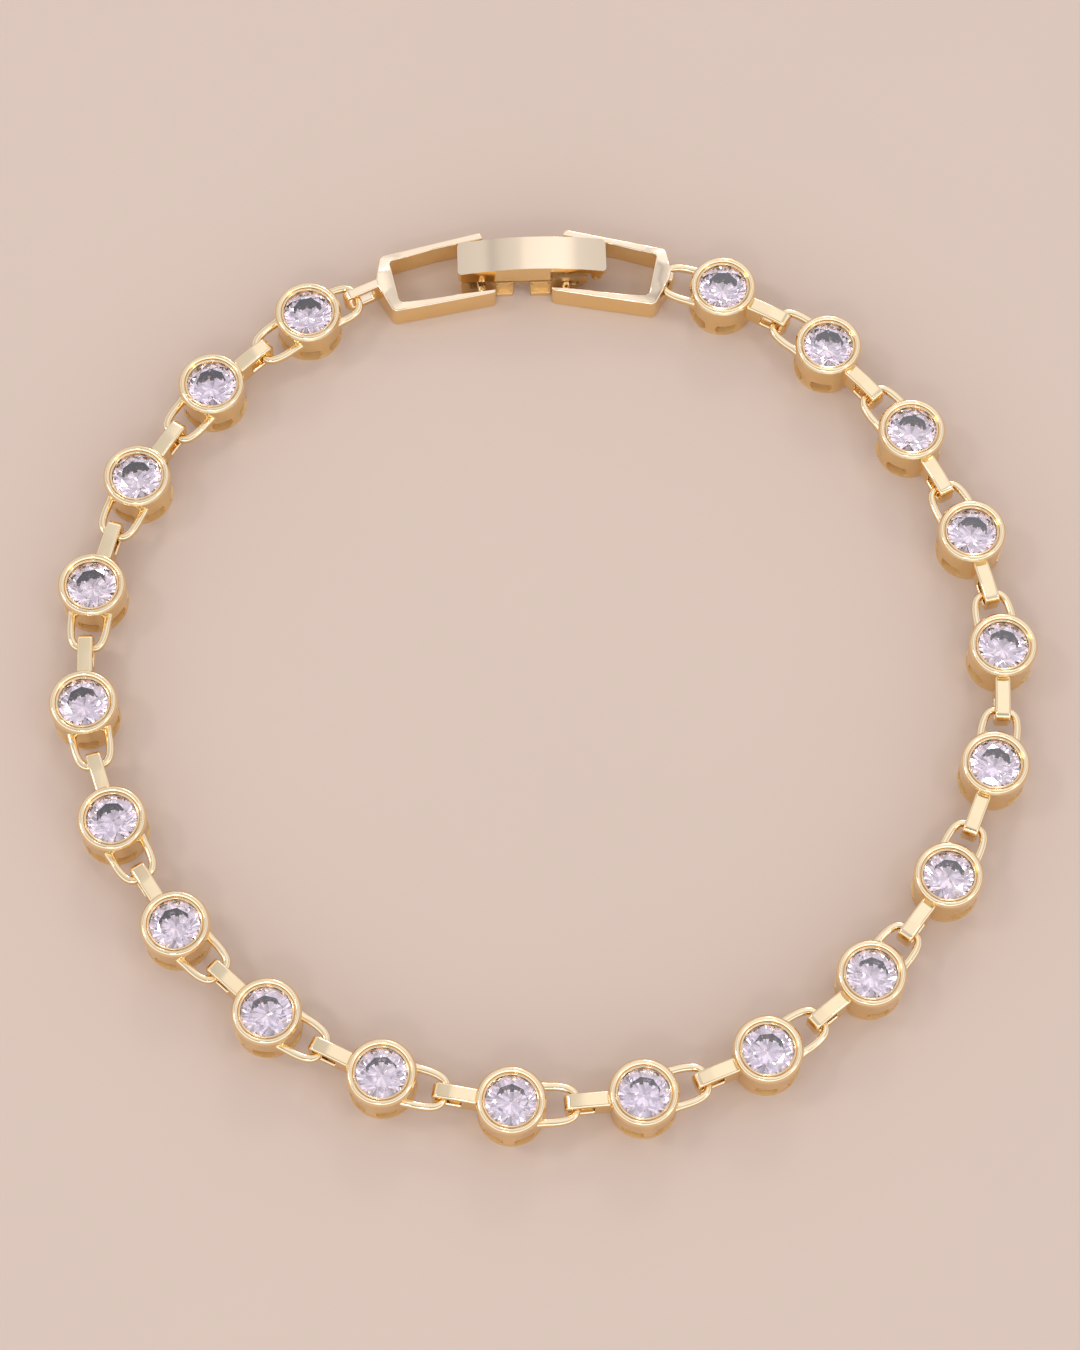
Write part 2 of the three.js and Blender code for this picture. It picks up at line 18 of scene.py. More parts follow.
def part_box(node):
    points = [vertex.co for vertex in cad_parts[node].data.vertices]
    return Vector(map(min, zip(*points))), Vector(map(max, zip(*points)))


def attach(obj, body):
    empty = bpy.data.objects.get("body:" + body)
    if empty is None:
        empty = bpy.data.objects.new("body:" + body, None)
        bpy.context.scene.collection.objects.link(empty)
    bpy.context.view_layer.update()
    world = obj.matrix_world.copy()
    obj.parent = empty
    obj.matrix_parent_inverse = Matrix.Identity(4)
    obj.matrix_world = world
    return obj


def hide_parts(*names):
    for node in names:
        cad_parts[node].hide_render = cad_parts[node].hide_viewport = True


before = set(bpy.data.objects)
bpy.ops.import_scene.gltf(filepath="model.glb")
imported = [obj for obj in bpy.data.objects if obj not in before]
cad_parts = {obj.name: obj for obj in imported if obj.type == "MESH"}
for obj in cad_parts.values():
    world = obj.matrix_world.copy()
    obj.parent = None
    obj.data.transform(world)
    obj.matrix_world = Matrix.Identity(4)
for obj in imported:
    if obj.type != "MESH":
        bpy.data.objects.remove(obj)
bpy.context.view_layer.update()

METRES_PER_MM = 0.001
CORNER_STEP_DEGREES = 12.0
BEVEL_FROM_DEGREES = 30.0
CREASE_FROM_DEGREES = 35.0
LEAST_MITRE = 0.3
EDGE_STEPS = 4
ROD_SIDES = 48
SLICE_REACH_MM = 0.0001
log = logging.getLogger("bracelet")

Point = tuple[float, float]
Corner = tuple[float, float, float]
Colour = tuple[float, float, float]


class Cut(Enum):
    """How two solids are put together."""

    JOIN = "UNION"
    CARVE = "DIFFERENCE"
    KEEP_COMMON = "INTERSECT"


class Side(Enum):
    """Which end of the clasp a frame is on."""

    LEFT = "left"
    RIGHT = "right"


class Body(Enum):
    """The bodies of the record that a piece can ride on."""

    BRACELET = "bracelet"
    COVER = "cover"


class Slot(Enum):
    """The record's material slots."""

    GOLD = "gold"
    LEAF_GOLD = "leaf_gold"
    STONE = "stone"


class Wire:
    """A node's output that takes Python's operators, each of which adds a Math node."""

    def __init__(self, bench: "Bench", socket: bpy.types.NodeSocket) -> None:
        """Wraps a socket.

        Args:
            bench: The bench that adds nodes to the socket's tree.
            socket: The output socket that the expression starts from.
        """
        self.bench = bench
        self.socket = socket

    def __add__(self, other: "Wire | float") -> "Wire":
        """Sum."""
        return self.bench.math("ADD", self, other)

    __radd__ = __add__

    def __sub__(self, other: "Wire | float") -> "Wire":
        """Difference."""
        return self.bench.math("SUBTRACT", self, other)

    def __rsub__(self, other: float) -> "Wire":
        """Difference with a number in front."""
        return self.bench.math("SUBTRACT", other, self)

    def __mul__(self, other: "Wire | float") -> "Wire":
        """Product."""
        return self.bench.math("MULTIPLY", self, other)

    __rmul__ = __mul__

    def __pow__(self, power: "Wire | float") -> "Wire":
        """Power."""
        return self.bench.math("POWER", self, power)

    def smooth(self, low: float, high: float) -> "Wire":
        """Turns the value into a mask with soft ends.

        Args:
            low: The value at which the mask is 0.
            high: The value at which the mask is 1.

        Returns:
            The mask, from 0 to 1.
        """
        values = {"Value": self, "From Min": low, "From Max": high}
        settings = {"interpolation_type": "SMOOTHSTEP"}
        return self.bench.wire("ShaderNodeMapRange", "Result", values, settings)


class Bench:
    """Adds nodes to a shader or geometry tree. A Mix node's colour sockets are named by their index."""

    MIX_COLOURS = (6, 7)
    MIX_RESULT = 2

    def __init__(self, tree: bpy.types.NodeTree) -> None:
        """Keeps the tree that the nodes go into."""
        self.tree = tree

    def add(self, kind: str, values: dict | None = None, settings: dict | None = None) -> bpy.types.Node:
        """Adds one node.

        Args:
            kind: The node's type name.
            values: Numbers, links or data for its input sockets, by name or index.
            settings: Its properties, and a ramp's stops under "stops", set before the sockets.

        Returns:
            The node.
        """
        node = self.tree.nodes.new(kind)
        for name, value in (settings or {}).items():
            if name == "stops":
                self._stops(node.color_ramp, value)
            else:
                setattr(node, name, value)
        self.connect(node, values or {})
        return node

    def connect(self, node: bpy.types.Node, values: dict) -> None:
        """Gives a node's input sockets their values.

        Args:
            node: The node.
            values: Numbers, data or links by socket, where a list holds several links to one socket.
        """
        for key, value in values.items():
            for item in value if isinstance(value, list) else [value]:
                if isinstance(item, Wire):
                    self.tree.links.new(item.socket, node.inputs[key])
                else:
                    node.inputs[key].default_value = item

    def wire(self, kind: str, output: str | int, values: dict | None = None,
             settings: dict | None = None) -> Wire:
        """Adds one node and wraps one of its outputs.

        Args:
            kind: The node's type name.
            output: The name or index of the output.
            values: Its inputs.
            settings: Its properties.

        Returns:
            The wrapped output.
        """
        return Wire(self, self.add(kind, values, settings).outputs[output])

    def math(self, operation: str, *values: Wire | float) -> Wire:
        """Adds a Math node.

        Args:
            operation: The Math node's operation.
            values: Its inputs, in order.

        Returns:
            The node's result.
        """
        return self.wire("ShaderNodeMath", "Value", dict(enumerate(values)), {"operation": operation})

    def mix(self, share: Wire, first: Colour | Wire, second: Colour) -> Wire:
        """Mixes two colours.

        Args:
            share: The second colour's share.
            first: The first colour, plain or varying.
            second: The second colour.

        Returns:
            The mixed colour.
        """
        first_key, second_key = self.MIX_COLOURS
        start = first if isinstance(first, Wire) else (*first, 1.0)
        values = {"Factor": share, first_key: start, second_key: (*second, 1.0)}
        return self.wire("ShaderNodeMix", self.MIX_RESULT, values, {"data_type": "RGBA"})

    def vector(self, **axes: Wire) -> Wire:
        """Joins values into a vector, named by axis."""
        return self.wire("ShaderNodeCombineXYZ", "Vector", axes)

    @staticmethod
    def _stops(ramp: bpy.types.ColorRamp, stops: Sequence[tuple[float, Colour]]) -> None:
        """Fills a colour ramp.

        Args:
            ramp: The ramp.
            stops: The place and the colour of each stop.
        """
        while len(ramp.elements) < len(stops):
            ramp.elements.new(1.0)
        for element, (place, colour) in zip(ramp.elements, stops):
            element.position = place
            element.color = (*colour, 1.0)


class Paint(Bench):
    """The nodes of a new material, round its shader."""

    def __init__(self, name: str) -> None:
        """Starts the material.

        Args:
            name: The material's name.
        """
        self.material = bpy.data.materials.new(name)
        self.material.use_nodes = True
        super().__init__(self.material.node_tree)
        self.shader = self.tree.nodes["Principled BSDF"]
        self.place = self.wire("ShaderNodeTexCoord", "Object")

    def noise(self, size_mm: float, detail: float, place: Wire | None = None) -> Wire:
        """Noise whose patches have a size in millimetres.

        Args:
            size_mm: The patches' size.
            detail: How many finer layers it has.
            place: Where it is read, the object's own coordinates unless given.

        Returns:
            The noise, from 0 to 1.
        """
        values = {"Vector": place or self.place, "Scale": 1 / (size_mm * METRES_PER_MM), "Detail": detail}
        return self.wire("ShaderNodeTexNoise", "Fac", values)

    def dress(self, values: dict) -> bpy.types.Material:
        """Gives the shader its values and returns the finished material."""
        self.connect(self.shader, values)
        return self.material


class Recipe:
    """A Geometry Nodes tree with named inputs, which grows one mesh at a time."""

    def __init__(self, name: str) -> None:
        """Starts a tree with a geometry input and output.

        Args:
            name: The tree's name.
        """
        self.tree = bpy.data.node_groups.new(name, "GeometryNodeTree")
        self.bench = Bench(self.tree)
        self.keys: dict[str, str] = {}
        for in_out in ("INPUT", "OUTPUT"):
            self.tree.interface.new_socket("Geometry", in_out=in_out, socket_type="NodeSocketGeometry")
        self.entry = self.bench.add("NodeGroupInput")

    def size(self, name: str, value: float, kind: str = "NodeSocketFloat") -> Wire:
        """Adds a named input.

        Args:
            name: The input's name.
            value: Its usual value.
            kind: Its socket type.

        Returns:
            The input, for use in the tree.
        """
        socket = self.tree.interface.new_socket(name, in_out="INPUT", socket_type=kind)
        socket.default_value = value
        self.keys[name] = socket.identifier
        return self.given(name)

    def given(self, name: str) -> Wire:
        """One of the tree's inputs, by name."""
        return Wire(self.bench, self.entry.outputs[name])

    def section(self, width: Wire | float, height: Wire | float, rounding: Wire | float, steps: int) -> Wire:
        """A rectangle with rounded corners, to sweep along a path.

        Args:
            width: Its width.
            height: Its height.
            rounding: The radius of its corners.
            steps: How many steps a corner has.

        Returns:
            The closed curve.
        """
        values = {"Width": width, "Height": height}
        curve = self.bench.wire("GeometryNodeCurvePrimitiveQuadrilateral", "Curve", values)
        values = {"Curve": curve, "Radius": rounding, "Count": steps}
        return self.bench.wire("GeometryNodeFilletCurve", "Curve", values, {"mode": "POLY"})

    def sweep(self, path: Wire, section: Wire, scale: Wire | float = 1.0) -> Wire:
        """Sweeps a section along a path, upright and with closed ends.

        Args:
            path: The path.
            section: The section.
            scale: The section's scale along the path.

        Returns:
            The swept mesh.
        """
        path = self.bench.wire("GeometryNodeSetCurveNormal", "Curve", {"Curve": path}, {"mode": "Z_UP"})
        values = {"Curve": path, "Profile Curve": section, "Scale": scale, "Fill Caps": True}
        return self.bench.wire("GeometryNodeCurveToMesh", "Mesh", values)

    def close(self, geometry: Wire, material: bpy.types.Material | None = None) -> None:
        """Ends the tree with real meshes.

        Args:
            geometry: What the tree has made.
            material: Its material, unless it keeps the ones it has.
        """
        bench = self.bench
        made = bench.wire("GeometryNodeRealizeInstances", "Geometry", {"Geometry": geometry})
        if material:
            values = {"Geometry": made, "Material": material}
            made = bench.wire("GeometryNodeSetMaterial", "Geometry", values)
        bench.add("NodeGroupOutput", {"Geometry": made})

    def grow(self, sizes: dict[str, float] | None = None,
             start: bpy.types.Mesh | None = None) -> bpy.types.Mesh:
        """Runs the tree.

        Args:
            sizes: Values for the named inputs that differ from the usual ones.
            start: The mesh that goes in.

        Returns:
            The plain mesh that comes out.
        """
        thing = stand("growing", start or bpy.data.meshes.new("empty"))
        modifier = thing.modifiers.new("grow", "NODES")
        modifier.node_group = self.tree
        for name, value in (sizes or {}).items():
            modifier[self.keys[name]] = value
        return settle(thing)


def stand(name: str, data: bpy.types.ID) -> bpy.types.Object:
    """Makes an object and links it to the scene.

    Args:
        name: The object's name.
        data: Its mesh, light or camera.

    Returns:
        The object.
    """
    thing = bpy.data.objects.new(name, data)
    bpy.context.scene.collection.objects.link(thing)
    return thing


def settle(thing: bpy.types.Object) -> bpy.types.Mesh:
    """Turns an object with live modifiers into a plain mesh and removes the object.

    Args:
        thing: The object, already linked to the scene.

    Returns:
        The evaluated mesh.
    """
    graph = bpy.context.evaluated_depsgraph_get()
    graph.update()
    mesh = bpy.data.meshes.new_from_object(thing.evaluated_get(graph), depsgraph=graph)
    bpy.data.objects.remove(thing)
    return mesh


def arc(centre: Point, radius: float, start: float, end: float, steps: int) -> list[Point]:
    """Points on an arc.

    Args:
        centre: The arc's centre.
        radius: Its radius.
        start: Its first angle in degrees.
        end: Its last angle in degrees.
        steps: How many straight steps it has.

    Returns:
        The points, both ends included.
    """
    angles = (math.radians(start + (end - start) * i / steps) for i in range(steps + 1))
    return [(centre[0] + radius * math.cos(a), centre[1] + radius * math.sin(a)) for a in angles]


def rounded(corners: Sequence[Corner]) -> list[Point]:
    """Rounds the corners of a closed outline.

    Args:
        corners: The x, y and radius of each corner, in order.

    Returns:
        The outline's points.
    """
    points: list[Point] = []
    for i, (x, y, radius) in enumerate(corners):
        here = Vector((x, y))
        if radius <= 0:
            points.append((x, y))
            continue
        before = (Vector(corners[i - 1][:2]) - here).normalized()
        after = (Vector(corners[(i + 1) % len(corners)][:2]) - here).normalized()
        opening = before.angle(after)
        centre = here + (before + after).normalized() * (radius / math.sin(opening / 2))
        first = here + before * (radius / math.tan(opening / 2)) - centre
        last = here + after * (radius / math.tan(opening / 2)) - centre
        start = math.degrees(math.atan2(first.y, first.x))
        turn = (math.degrees(math.atan2(last.y, last.x)) - start + 180) % 360 - 180
        steps = max(2, math.ceil(abs(turn) / CORNER_STEP_DEGREES))
        points += arc(tuple(centre), radius, start, start + turn, steps)
    return points


def area(points: Sequence[Point]) -> float:
    """The signed area of an outline, positive where it runs anticlockwise."""
    return sum(a[0] * b[1] - b[0] * a[1] for a, b in zip(points, [*points[1:], points[0]])) / 2


def inset(points: Sequence[Point], distance: float) -> list[Point]:
    """Moves each side of an outline to its left, corners kept.

    Args:
        points: The outline's points.
        distance: How far its sides move.

    Returns:
        The moved points, as many as before.
    """
    moved = []
    for i, point in enumerate(points):
        here = Vector(point)
        back = (here - Vector(points[i - 1])).normalized()
        ahead = (Vector(points[(i + 1) % len(points)]) - here).normalized()
        left = Vector((-back.y - ahead.y, back.x + ahead.x)).normalized()
        mitre = max(left.dot(Vector((-ahead.y, ahead.x))), LEAST_MITRE)
        moved.append(tuple(here + left * (distance / mitre)))
    return moved


def solid(name: str, points: Sequence[Vector], faces: Sequence[Sequence[int]],
          material: bpy.types.Material) -> bpy.types.Mesh:
    """Makes a mesh in one material.

    Args:
        name: The mesh's name.
        points: Its vertices.
        faces: Its faces, as rows of vertex numbers.
        material: Its material.

    Returns:
        The mesh.
    """
    mesh = bpy.data.meshes.new(name)
    mesh.from_pydata(points, [], faces)
    mesh.materials.append(material)
    return mesh


def plate(name: str, outline: Sequence[Point], thickness: float, material: bpy.types.Material,
          holes: Sequence[Sequence[Point]] = (), edge: float = 0.0) -> bpy.types.Mesh:
    """A flat plate with rounded edges, its middle plane on z = 0.

    Args:
        name: The mesh's name.
        outline: The plate's outline.
        thickness: Its full thickness.
        material: Its material.
        holes: The outlines of its holes.
        edge: The radius of its rounded edges, or 0 for sharp ones.

    Returns:
        The mesh, closed, with its faces outwards.
    """
    loops = [list(outline) if area(outline) > 0 else list(reversed(outline))]
    loops += [list(hole) if area(hole) < 0 else list(reversed(hole)) for hole in holes]
    half = thickness / 2
    turns = [math.pi / 2]
    if edge > 0:
        turns = [math.pi / 2 * k / EDGE_STEPS for k in range(EDGE_STEPS + 1)]
    upper = [(edge * (1 - math.sin(t)), half - edge * (1 - math.cos(t))) for t in turns]
    levels = upper + [(reach, -height) for reach, height in reversed(upper)]
    points: list[Vector] = []
    faces: list[Sequence[int]] = []
    first_ring: list[int] = []
    last_ring: list[int] = []
    for loop in loops:
        count, start = len(loop), len(points)
        for reach, height in levels:
            points += [Vector((x, y, height)) for x, y in inset(loop, reach)]
        for level in range(len(levels) - 1):
            for i in range(count):
                top, bottom, after = start + level * count, start + (level + 1) * count, (i + 1) % count
                faces.append((top + i, bottom + i, bottom + after, top + after))
        first_ring += range(start, start + count)
        last_ring += range(len(points) - count, len(points))
    caps = tessellate_polygon([[Vector((x, y, 0)) for x, y in inset(loop, levels[0][0])] for loop in loops])
    for a, b, c in caps:
        if area([tuple(points[first_ring[i]].xy) for i in (a, b, c)]) < 0:
            a, c = c, a
        faces.append((first_ring[a], first_ring[b], first_ring[c]))
        faces.append((last_ring[c], last_ring[b], last_ring[a]))
    return solid(name, points, faces, material)


def upright(mesh: bpy.types.Mesh) -> bpy.types.Mesh:
    """Stands a plate up, so that its outline is a side view in x and z."""
    mesh.transform(Matrix.Rotation(math.pi / 2, 4, "X"))
    return mesh


def pointed(mesh: bpy.types.Mesh, degrees: float) -> bpy.types.Mesh:
    """Turns a mesh about the upright axis."""
    mesh.transform(Matrix.Rotation(math.radians(degrees), 4, "Z"))
    return mesh


def shifted(mesh: bpy.types.Mesh, x: float, y: float, z: float) -> bpy.types.Mesh:
    """Moves a mesh."""
    mesh.transform(Matrix.Translation((x, y, z)))
    return mesh


def turned(name: str, profile: Sequence[Point], sides: int, material: bpy.types.Material) -> bpy.types.Mesh:
    """A ring turned from a closed profile that runs anticlockwise in radius and height.

    Args:
        name: The mesh's name.
        profile: Radius and height of each point.
        sides: How many steps the turn has.
        material: Its material.

    Returns:
        The mesh.
    """
    points = [
        Vector((r * math.cos(2 * math.pi * j / sides), r * math.sin(2 * math.pi * j / sides), z))
        for r, z in profile
        for j in range(sides)
    ]
    faces = []
    for i in range(len(profile)):
        here, above = i * sides, (i + 1) % len(profile) * sides
        for j in range(sides):
            after = (j + 1) % sides
            faces.append((here + j, here + after, above + after, above + j))
    return solid(name, points, faces, material)


def block(x: Point, y: Point, z: Point, material: bpy.types.Material) -> bpy.types.Mesh:
    """A plain block between two limits on each axis, for cutting and joining."""
    mesh = plate("block", [(x[0], y[0]), (x[1], y[0]), (x[1], y[1]), (x[0], y[1])], z[1] - z[0], material)
    return shifted(mesh, 0, 0, (z[0] + z[1]) / 2)


def rod(radius: float, length: float, edge: float, material: bpy.types.Material,
        x: float, z: float) -> bpy.types.Mesh:
    """A round rod along y.

    Args:
        radius: Its radius.
        length: Its length.
        edge: The radius of its rounded ends.
        material: Its material.
        x: Its axis's x.
        z: Its axis's height.

    Returns:
        The rod's mesh, its middle at y = 0.
    """
    outline = arc((0, 0), radius, 0, 360 - 360 / ROD_SIDES, ROD_SIDES - 1)
    return shifted(upright(plate("rod", outline, length, material, edge=edge)), x, 0, z)


def combine(first: bpy.types.Mesh, second: bpy.types.Mesh, how: Cut) -> bpy.types.Mesh:
    """Joins, carves or intersects two closed meshes.

    Args:
        first: The mesh that is worked on.
        second: The mesh that is joined to it or cuts it, which is used up.
        how: What is done.

    Returns:
        The new mesh, in the materials of both.
    """
    tool = stand("tool", second)
    work = stand("work", first)
    modifier = work.modifiers.new("combine", "BOOLEAN")
    modifier.operation = how.value
    modifier.solver = "EXACT"
    modifier.material_mode = "TRANSFER"
    modifier.object = tool
    mesh = settle(work)
    bpy.data.objects.remove(tool)
    return mesh


def softened(mesh: bpy.types.Mesh, width: float, steps: int = 3) -> bpy.types.Mesh:
    """Rounds every sharp edge of a closed mesh.

    Args:
        mesh: The mesh.
        width: The width of the rounding.
        steps: How many steps it has.

    Returns:
        The rounded mesh.
    """
    thing = stand("softened", mesh)
    bevel = thing.modifiers.new("edges", "BEVEL")
    bevel.limit_method = "ANGLE"
    bevel.angle_limit = math.radians(BEVEL_FROM_DEGREES)
    bevel.width = width
    bevel.segments = steps
    return settle(thing)


def polished(mesh: bpy.types.Mesh) -> bpy.types.Mesh:
    """Shades a mesh smooth, with flat faces kept flat and creases kept crisp.

    Args:
        mesh: The mesh.

    Returns:
        The mesh with its normals set.
    """
    mesh.polygons.foreach_set("use_smooth", [True] * len(mesh.polygons))
    mesh.set_sharp_from_angle(angle=math.radians(CREASE_FROM_DEGREES))
    thing = stand("polished", mesh)
    weighted = thing.modifiers.new("normals", "WEIGHTED_NORMAL")
    weighted.keep_sharp = True
    return settle(thing)


def smoothstep(low: float, high: float, value: float) -> float:
    """A soft step from 0 at the low value to 1 at the high one."""
    share = min(max((value - low) / (high - low), 0.0), 1.0)
    return share * share * (3 - 2 * share)


def sliced(mesh: bpy.types.Mesh, across: Vector, places: Sequence[float]) -> bpy.types.Mesh:
    """Adds rows of vertices where planes cross a mesh, so that it can be bent.

    Args:
        mesh: The mesh.
        across: The planes' normal.
        places: Their distances from the origin.

    Returns:
        The same mesh with its faces cut along the planes.
    """
    work = bmesh.new()
    work.from_mesh(mesh)
    for place in places:
        parts = [*work.verts, *work.edges, *work.faces]
        bmesh.ops.bisect_plane(
            work, geom=parts, dist=SLICE_REACH_MM, plane_co=across * place, plane_no=across
        )
    work.to_mesh(mesh)
    work.free()
    return mesh


def lay(name: str, mesh: bpy.types.Mesh, spot: Matrix, node: str,
        body: Body = Body.BRACELET) -> bpy.types.Object:
    """Lays a copy of a mesh at its place, as a piece that stands for a node.

    Args:
        name: The piece's name.
        mesh: The mesh in millimetres, in the piece's own axes.
        spot: The piece's place, in millimetres.
        node: The node that it stands for.
        body: The body that it rides on.

    Returns:
        The piece.
    """
    own = mesh.copy()
    own.name = name
    own.transform(Matrix.Scale(METRES_PER_MM, 4) @ spot)
    piece = stand(name, own)
    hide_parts(node)
    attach(piece, body.value)
    log.info("%s stands for %s, %d faces", name, node, len(own.polygons))
    return piece


@dataclass(frozen=True)
class Spot:
    """A place on the surface that the bracelet lies on, in millimetres, and a turn in degrees."""

    x: float
    y: float
    turn: float

    def matrix(self) -> Matrix:
        """The matrix that lays a piece there."""
        return Matrix.Translation((self.x, self.y, 0)) @ Matrix.Rotation(math.radians(self.turn), 4, "Z")

    def moved(self, shift: Vector) -> "Spot":
        """The same turn at a place moved by a shift."""
        return Spot(self.x + shift.x, self.y + shift.y, self.turn)

    def ahead(self, distance: float, heading: float) -> "Spot":
        """The spot a distance away along a heading, turned to it."""
        angle = math.radians(heading)
        return Spot(self.x + distance * math.cos(angle), self.y + distance * math.sin(angle), heading)


@dataclass(frozen=True)
class GoldFinish:
    """Plated metal: its colour on top, a deeper wall colour that is painted shade, deeper patches at random,
    its polish and its marks.
    """

    name: str
    colour: Colour
    # The wall colour is painted shade: upright faces are painted deeper than the tops.
    shaded_wall_colour: Colour
    deep_colour: Colour
    deep_share: float
    metallic: float = 1.0
    roughness: float = 0.12
    roughness_spread: float = 0.05
    brushing: float = 0.03
    ripple_mm: float = 1.4
    ripple_height_mm: float = 0.0016
    ripple_detail: float = 2.0
    grain_mm: float = 0.1
    grain_height_mm: float = 0.0003
    grain_detail: float = 4.0
    cloud_mm: float = 2.6
    cloud_detail: float = 3.0
    brush_mm: float = 0.16
    brush_detail: float = 2.0
    brush_stretch: tuple[float, float, float] = (1.0, 0.3, 0.5)
    shade_wall_to_top: Point = (0.15, 0.75)
    cloud_mask: Point = (0.3, 0.8)
    grain_mask: Point = (0.55, 0.85)
    brush_mask: Point = (0.6, 0.8)

    def material(self) -> bpy.types.Material:
        """Builds the finish.

        Returns:
            The material.
        """
        paint = Paint(self.name)
        cloud = paint.noise(self.cloud_mm, self.cloud_detail)
        grain = paint.noise(self.grain_mm, self.grain_detail)
        ripple = paint.noise(self.ripple_mm, self.ripple_detail)
        stretch = {"Vector": paint.place, "Scale": self.brush_stretch}
        brushed = paint.wire("ShaderNodeMapping", "Vector", stretch)
        marks = paint.noise(self.brush_mm, self.brush_detail, brushed).smooth(*self.brush_mask)
        # Painted shade: faces that stand upright, by their normal in the object's own axes, get the deeper
        # wall colour, and the tops get the plain colour.
        facing = paint.wire("ShaderNodeTexCoord", "Normal")
        rise = paint.wire("ShaderNodeSeparateXYZ", "Z", {"Vector": facing})
        plain = paint.mix(rise.smooth(*self.shade_wall_to_top), self.shaded_wall_colour, self.colour)
        deep = (cloud.smooth(*self.cloud_mask) + grain.smooth(*self.grain_mask)) * self.deep_share
        least_rough = self.roughness - self.roughness_spread / 2
        height = ripple * self.ripple_height_mm + grain * self.grain_height_mm
        relief = {"Strength": 1.0, "Distance": METRES_PER_MM, "Height": height}
        return paint.dress({
            "Base Color": paint.mix(deep, plain, self.deep_colour),
            "Roughness": cloud * self.roughness_spread + marks * self.brushing + least_rough,
            "Metallic": self.metallic,
            "Normal": paint.wire("ShaderNodeBump", "Normal", relief),
        })


@dataclass(frozen=True)
class StoneFinish:
    """A clear tinted stone: its two colours and its refraction."""

    name: str = "lilac_stone"
    colour: Colour = (1.0, 0.80, 0.83)
    second_colour: Colour = (0.98, 0.79, 0.87)
    cloud_mm: float = 3.0
    cloud_detail: float = 1.0
    cloud_mask: Point = (0.4, 0.6)
    refraction: float = 2.15
    clearness: float = 0.99

    def material(self) -> bpy.types.Material:
        """Builds the finish.

        Returns:
            The material.
        """
        paint = Paint(self.name)
        share = paint.noise(self.cloud_mm, self.cloud_detail).smooth(*self.cloud_mask)
        return paint.dress({
            "Base Color": paint.mix(share, self.colour, self.second_colour),
            "Roughness": 0.0,
            "IOR": self.refraction,
            "Transmission Weight": self.clearness,
        })


@dataclass(frozen=True)
class FloorFinish:
    """The pale floor: one colour with slightly deeper clouds."""

    name: str = "pale_floor"
    colour: Colour = (0.66, 0.505, 0.40)
    deeper: float = 0.96
    cloud_mm: float = 25.0
    cloud_detail: float = 3.0
    roughness: float = 0.9

    def material(self) -> bpy.types.Material:
        """Builds the finish.

        Returns:
            The material.
        """
        paint = Paint(self.name)
        cloud = paint.noise(self.cloud_mm, self.cloud_detail)
        second = tuple(c * self.deeper for c in self.colour)
        return paint.dress({
            "Base Color": paint.mix(cloud, self.colour, second),
            "Roughness": self.roughness,
        })


@dataclass(frozen=True)
class Finishes:
    """The finishes of the bracelet, built once."""

    bright: bpy.types.Material
    link: bpy.types.Material
    pierced: bpy.types.Material
    cast: bpy.types.Material
    stone: bpy.types.Material

    @classmethod
    def build(cls) -> "Finishes":
        """Builds every finish.

        Returns:
            The finishes.
        """
        bright = GoldFinish(
            "bright_gold", colour=(0.98, 0.775, 0.55), shaded_wall_colour=(0.94, 0.70, 0.34),
            deep_colour=(0.95, 0.71, 0.43), deep_share=0.3,
        )
        # Rougher cast gold for inner walls and recesses; its deeper orange is partly painted shade in those
        # recesses.
        cast = GoldFinish(
            "cast_gold_and_shade", colour=(0.94, 0.74, 0.42), shaded_wall_colour=(0.93, 0.68, 0.32),
            deep_colour=(0.84, 0.52, 0.19), deep_share=0.5, metallic=0.85,
            roughness=0.33, roughness_spread=0.2, brushing=0.12,
            ripple_mm=0.5, ripple_height_mm=0.03, grain_mm=0.09, grain_height_mm=0.03,
        )
        link = GoldFinish(
            "link_gold", colour=(0.93, 0.735, 0.47), shaded_wall_colour=(0.93, 0.69, 0.33),
            deep_colour=(0.92, 0.67, 0.36), deep_share=0.35, roughness=0.13, ripple_height_mm=0.002,
        )
        # Pierced gold for the inside of the tube and its windows: its deep orange is painted shade and
        # bounced light inside the tube, on a rougher, less metallic surface.
        pierced = GoldFinish(
            "pierced_gold_painted_shade", colour=(1.0, 0.76, 0.34), shaded_wall_colour=(1.0, 0.70, 0.27),
            deep_colour=(0.80, 0.45, 0.12), deep_share=0.6, metallic=0.6,
            roughness=0.4, roughness_spread=0.15, brushing=0.1,
            ripple_mm=0.5, ripple_height_mm=0.02, grain_mm=0.09, grain_height_mm=0.01,
        )
        return cls(*(finish.material() for finish in (bright, link, pierced, cast, StoneFinish())))


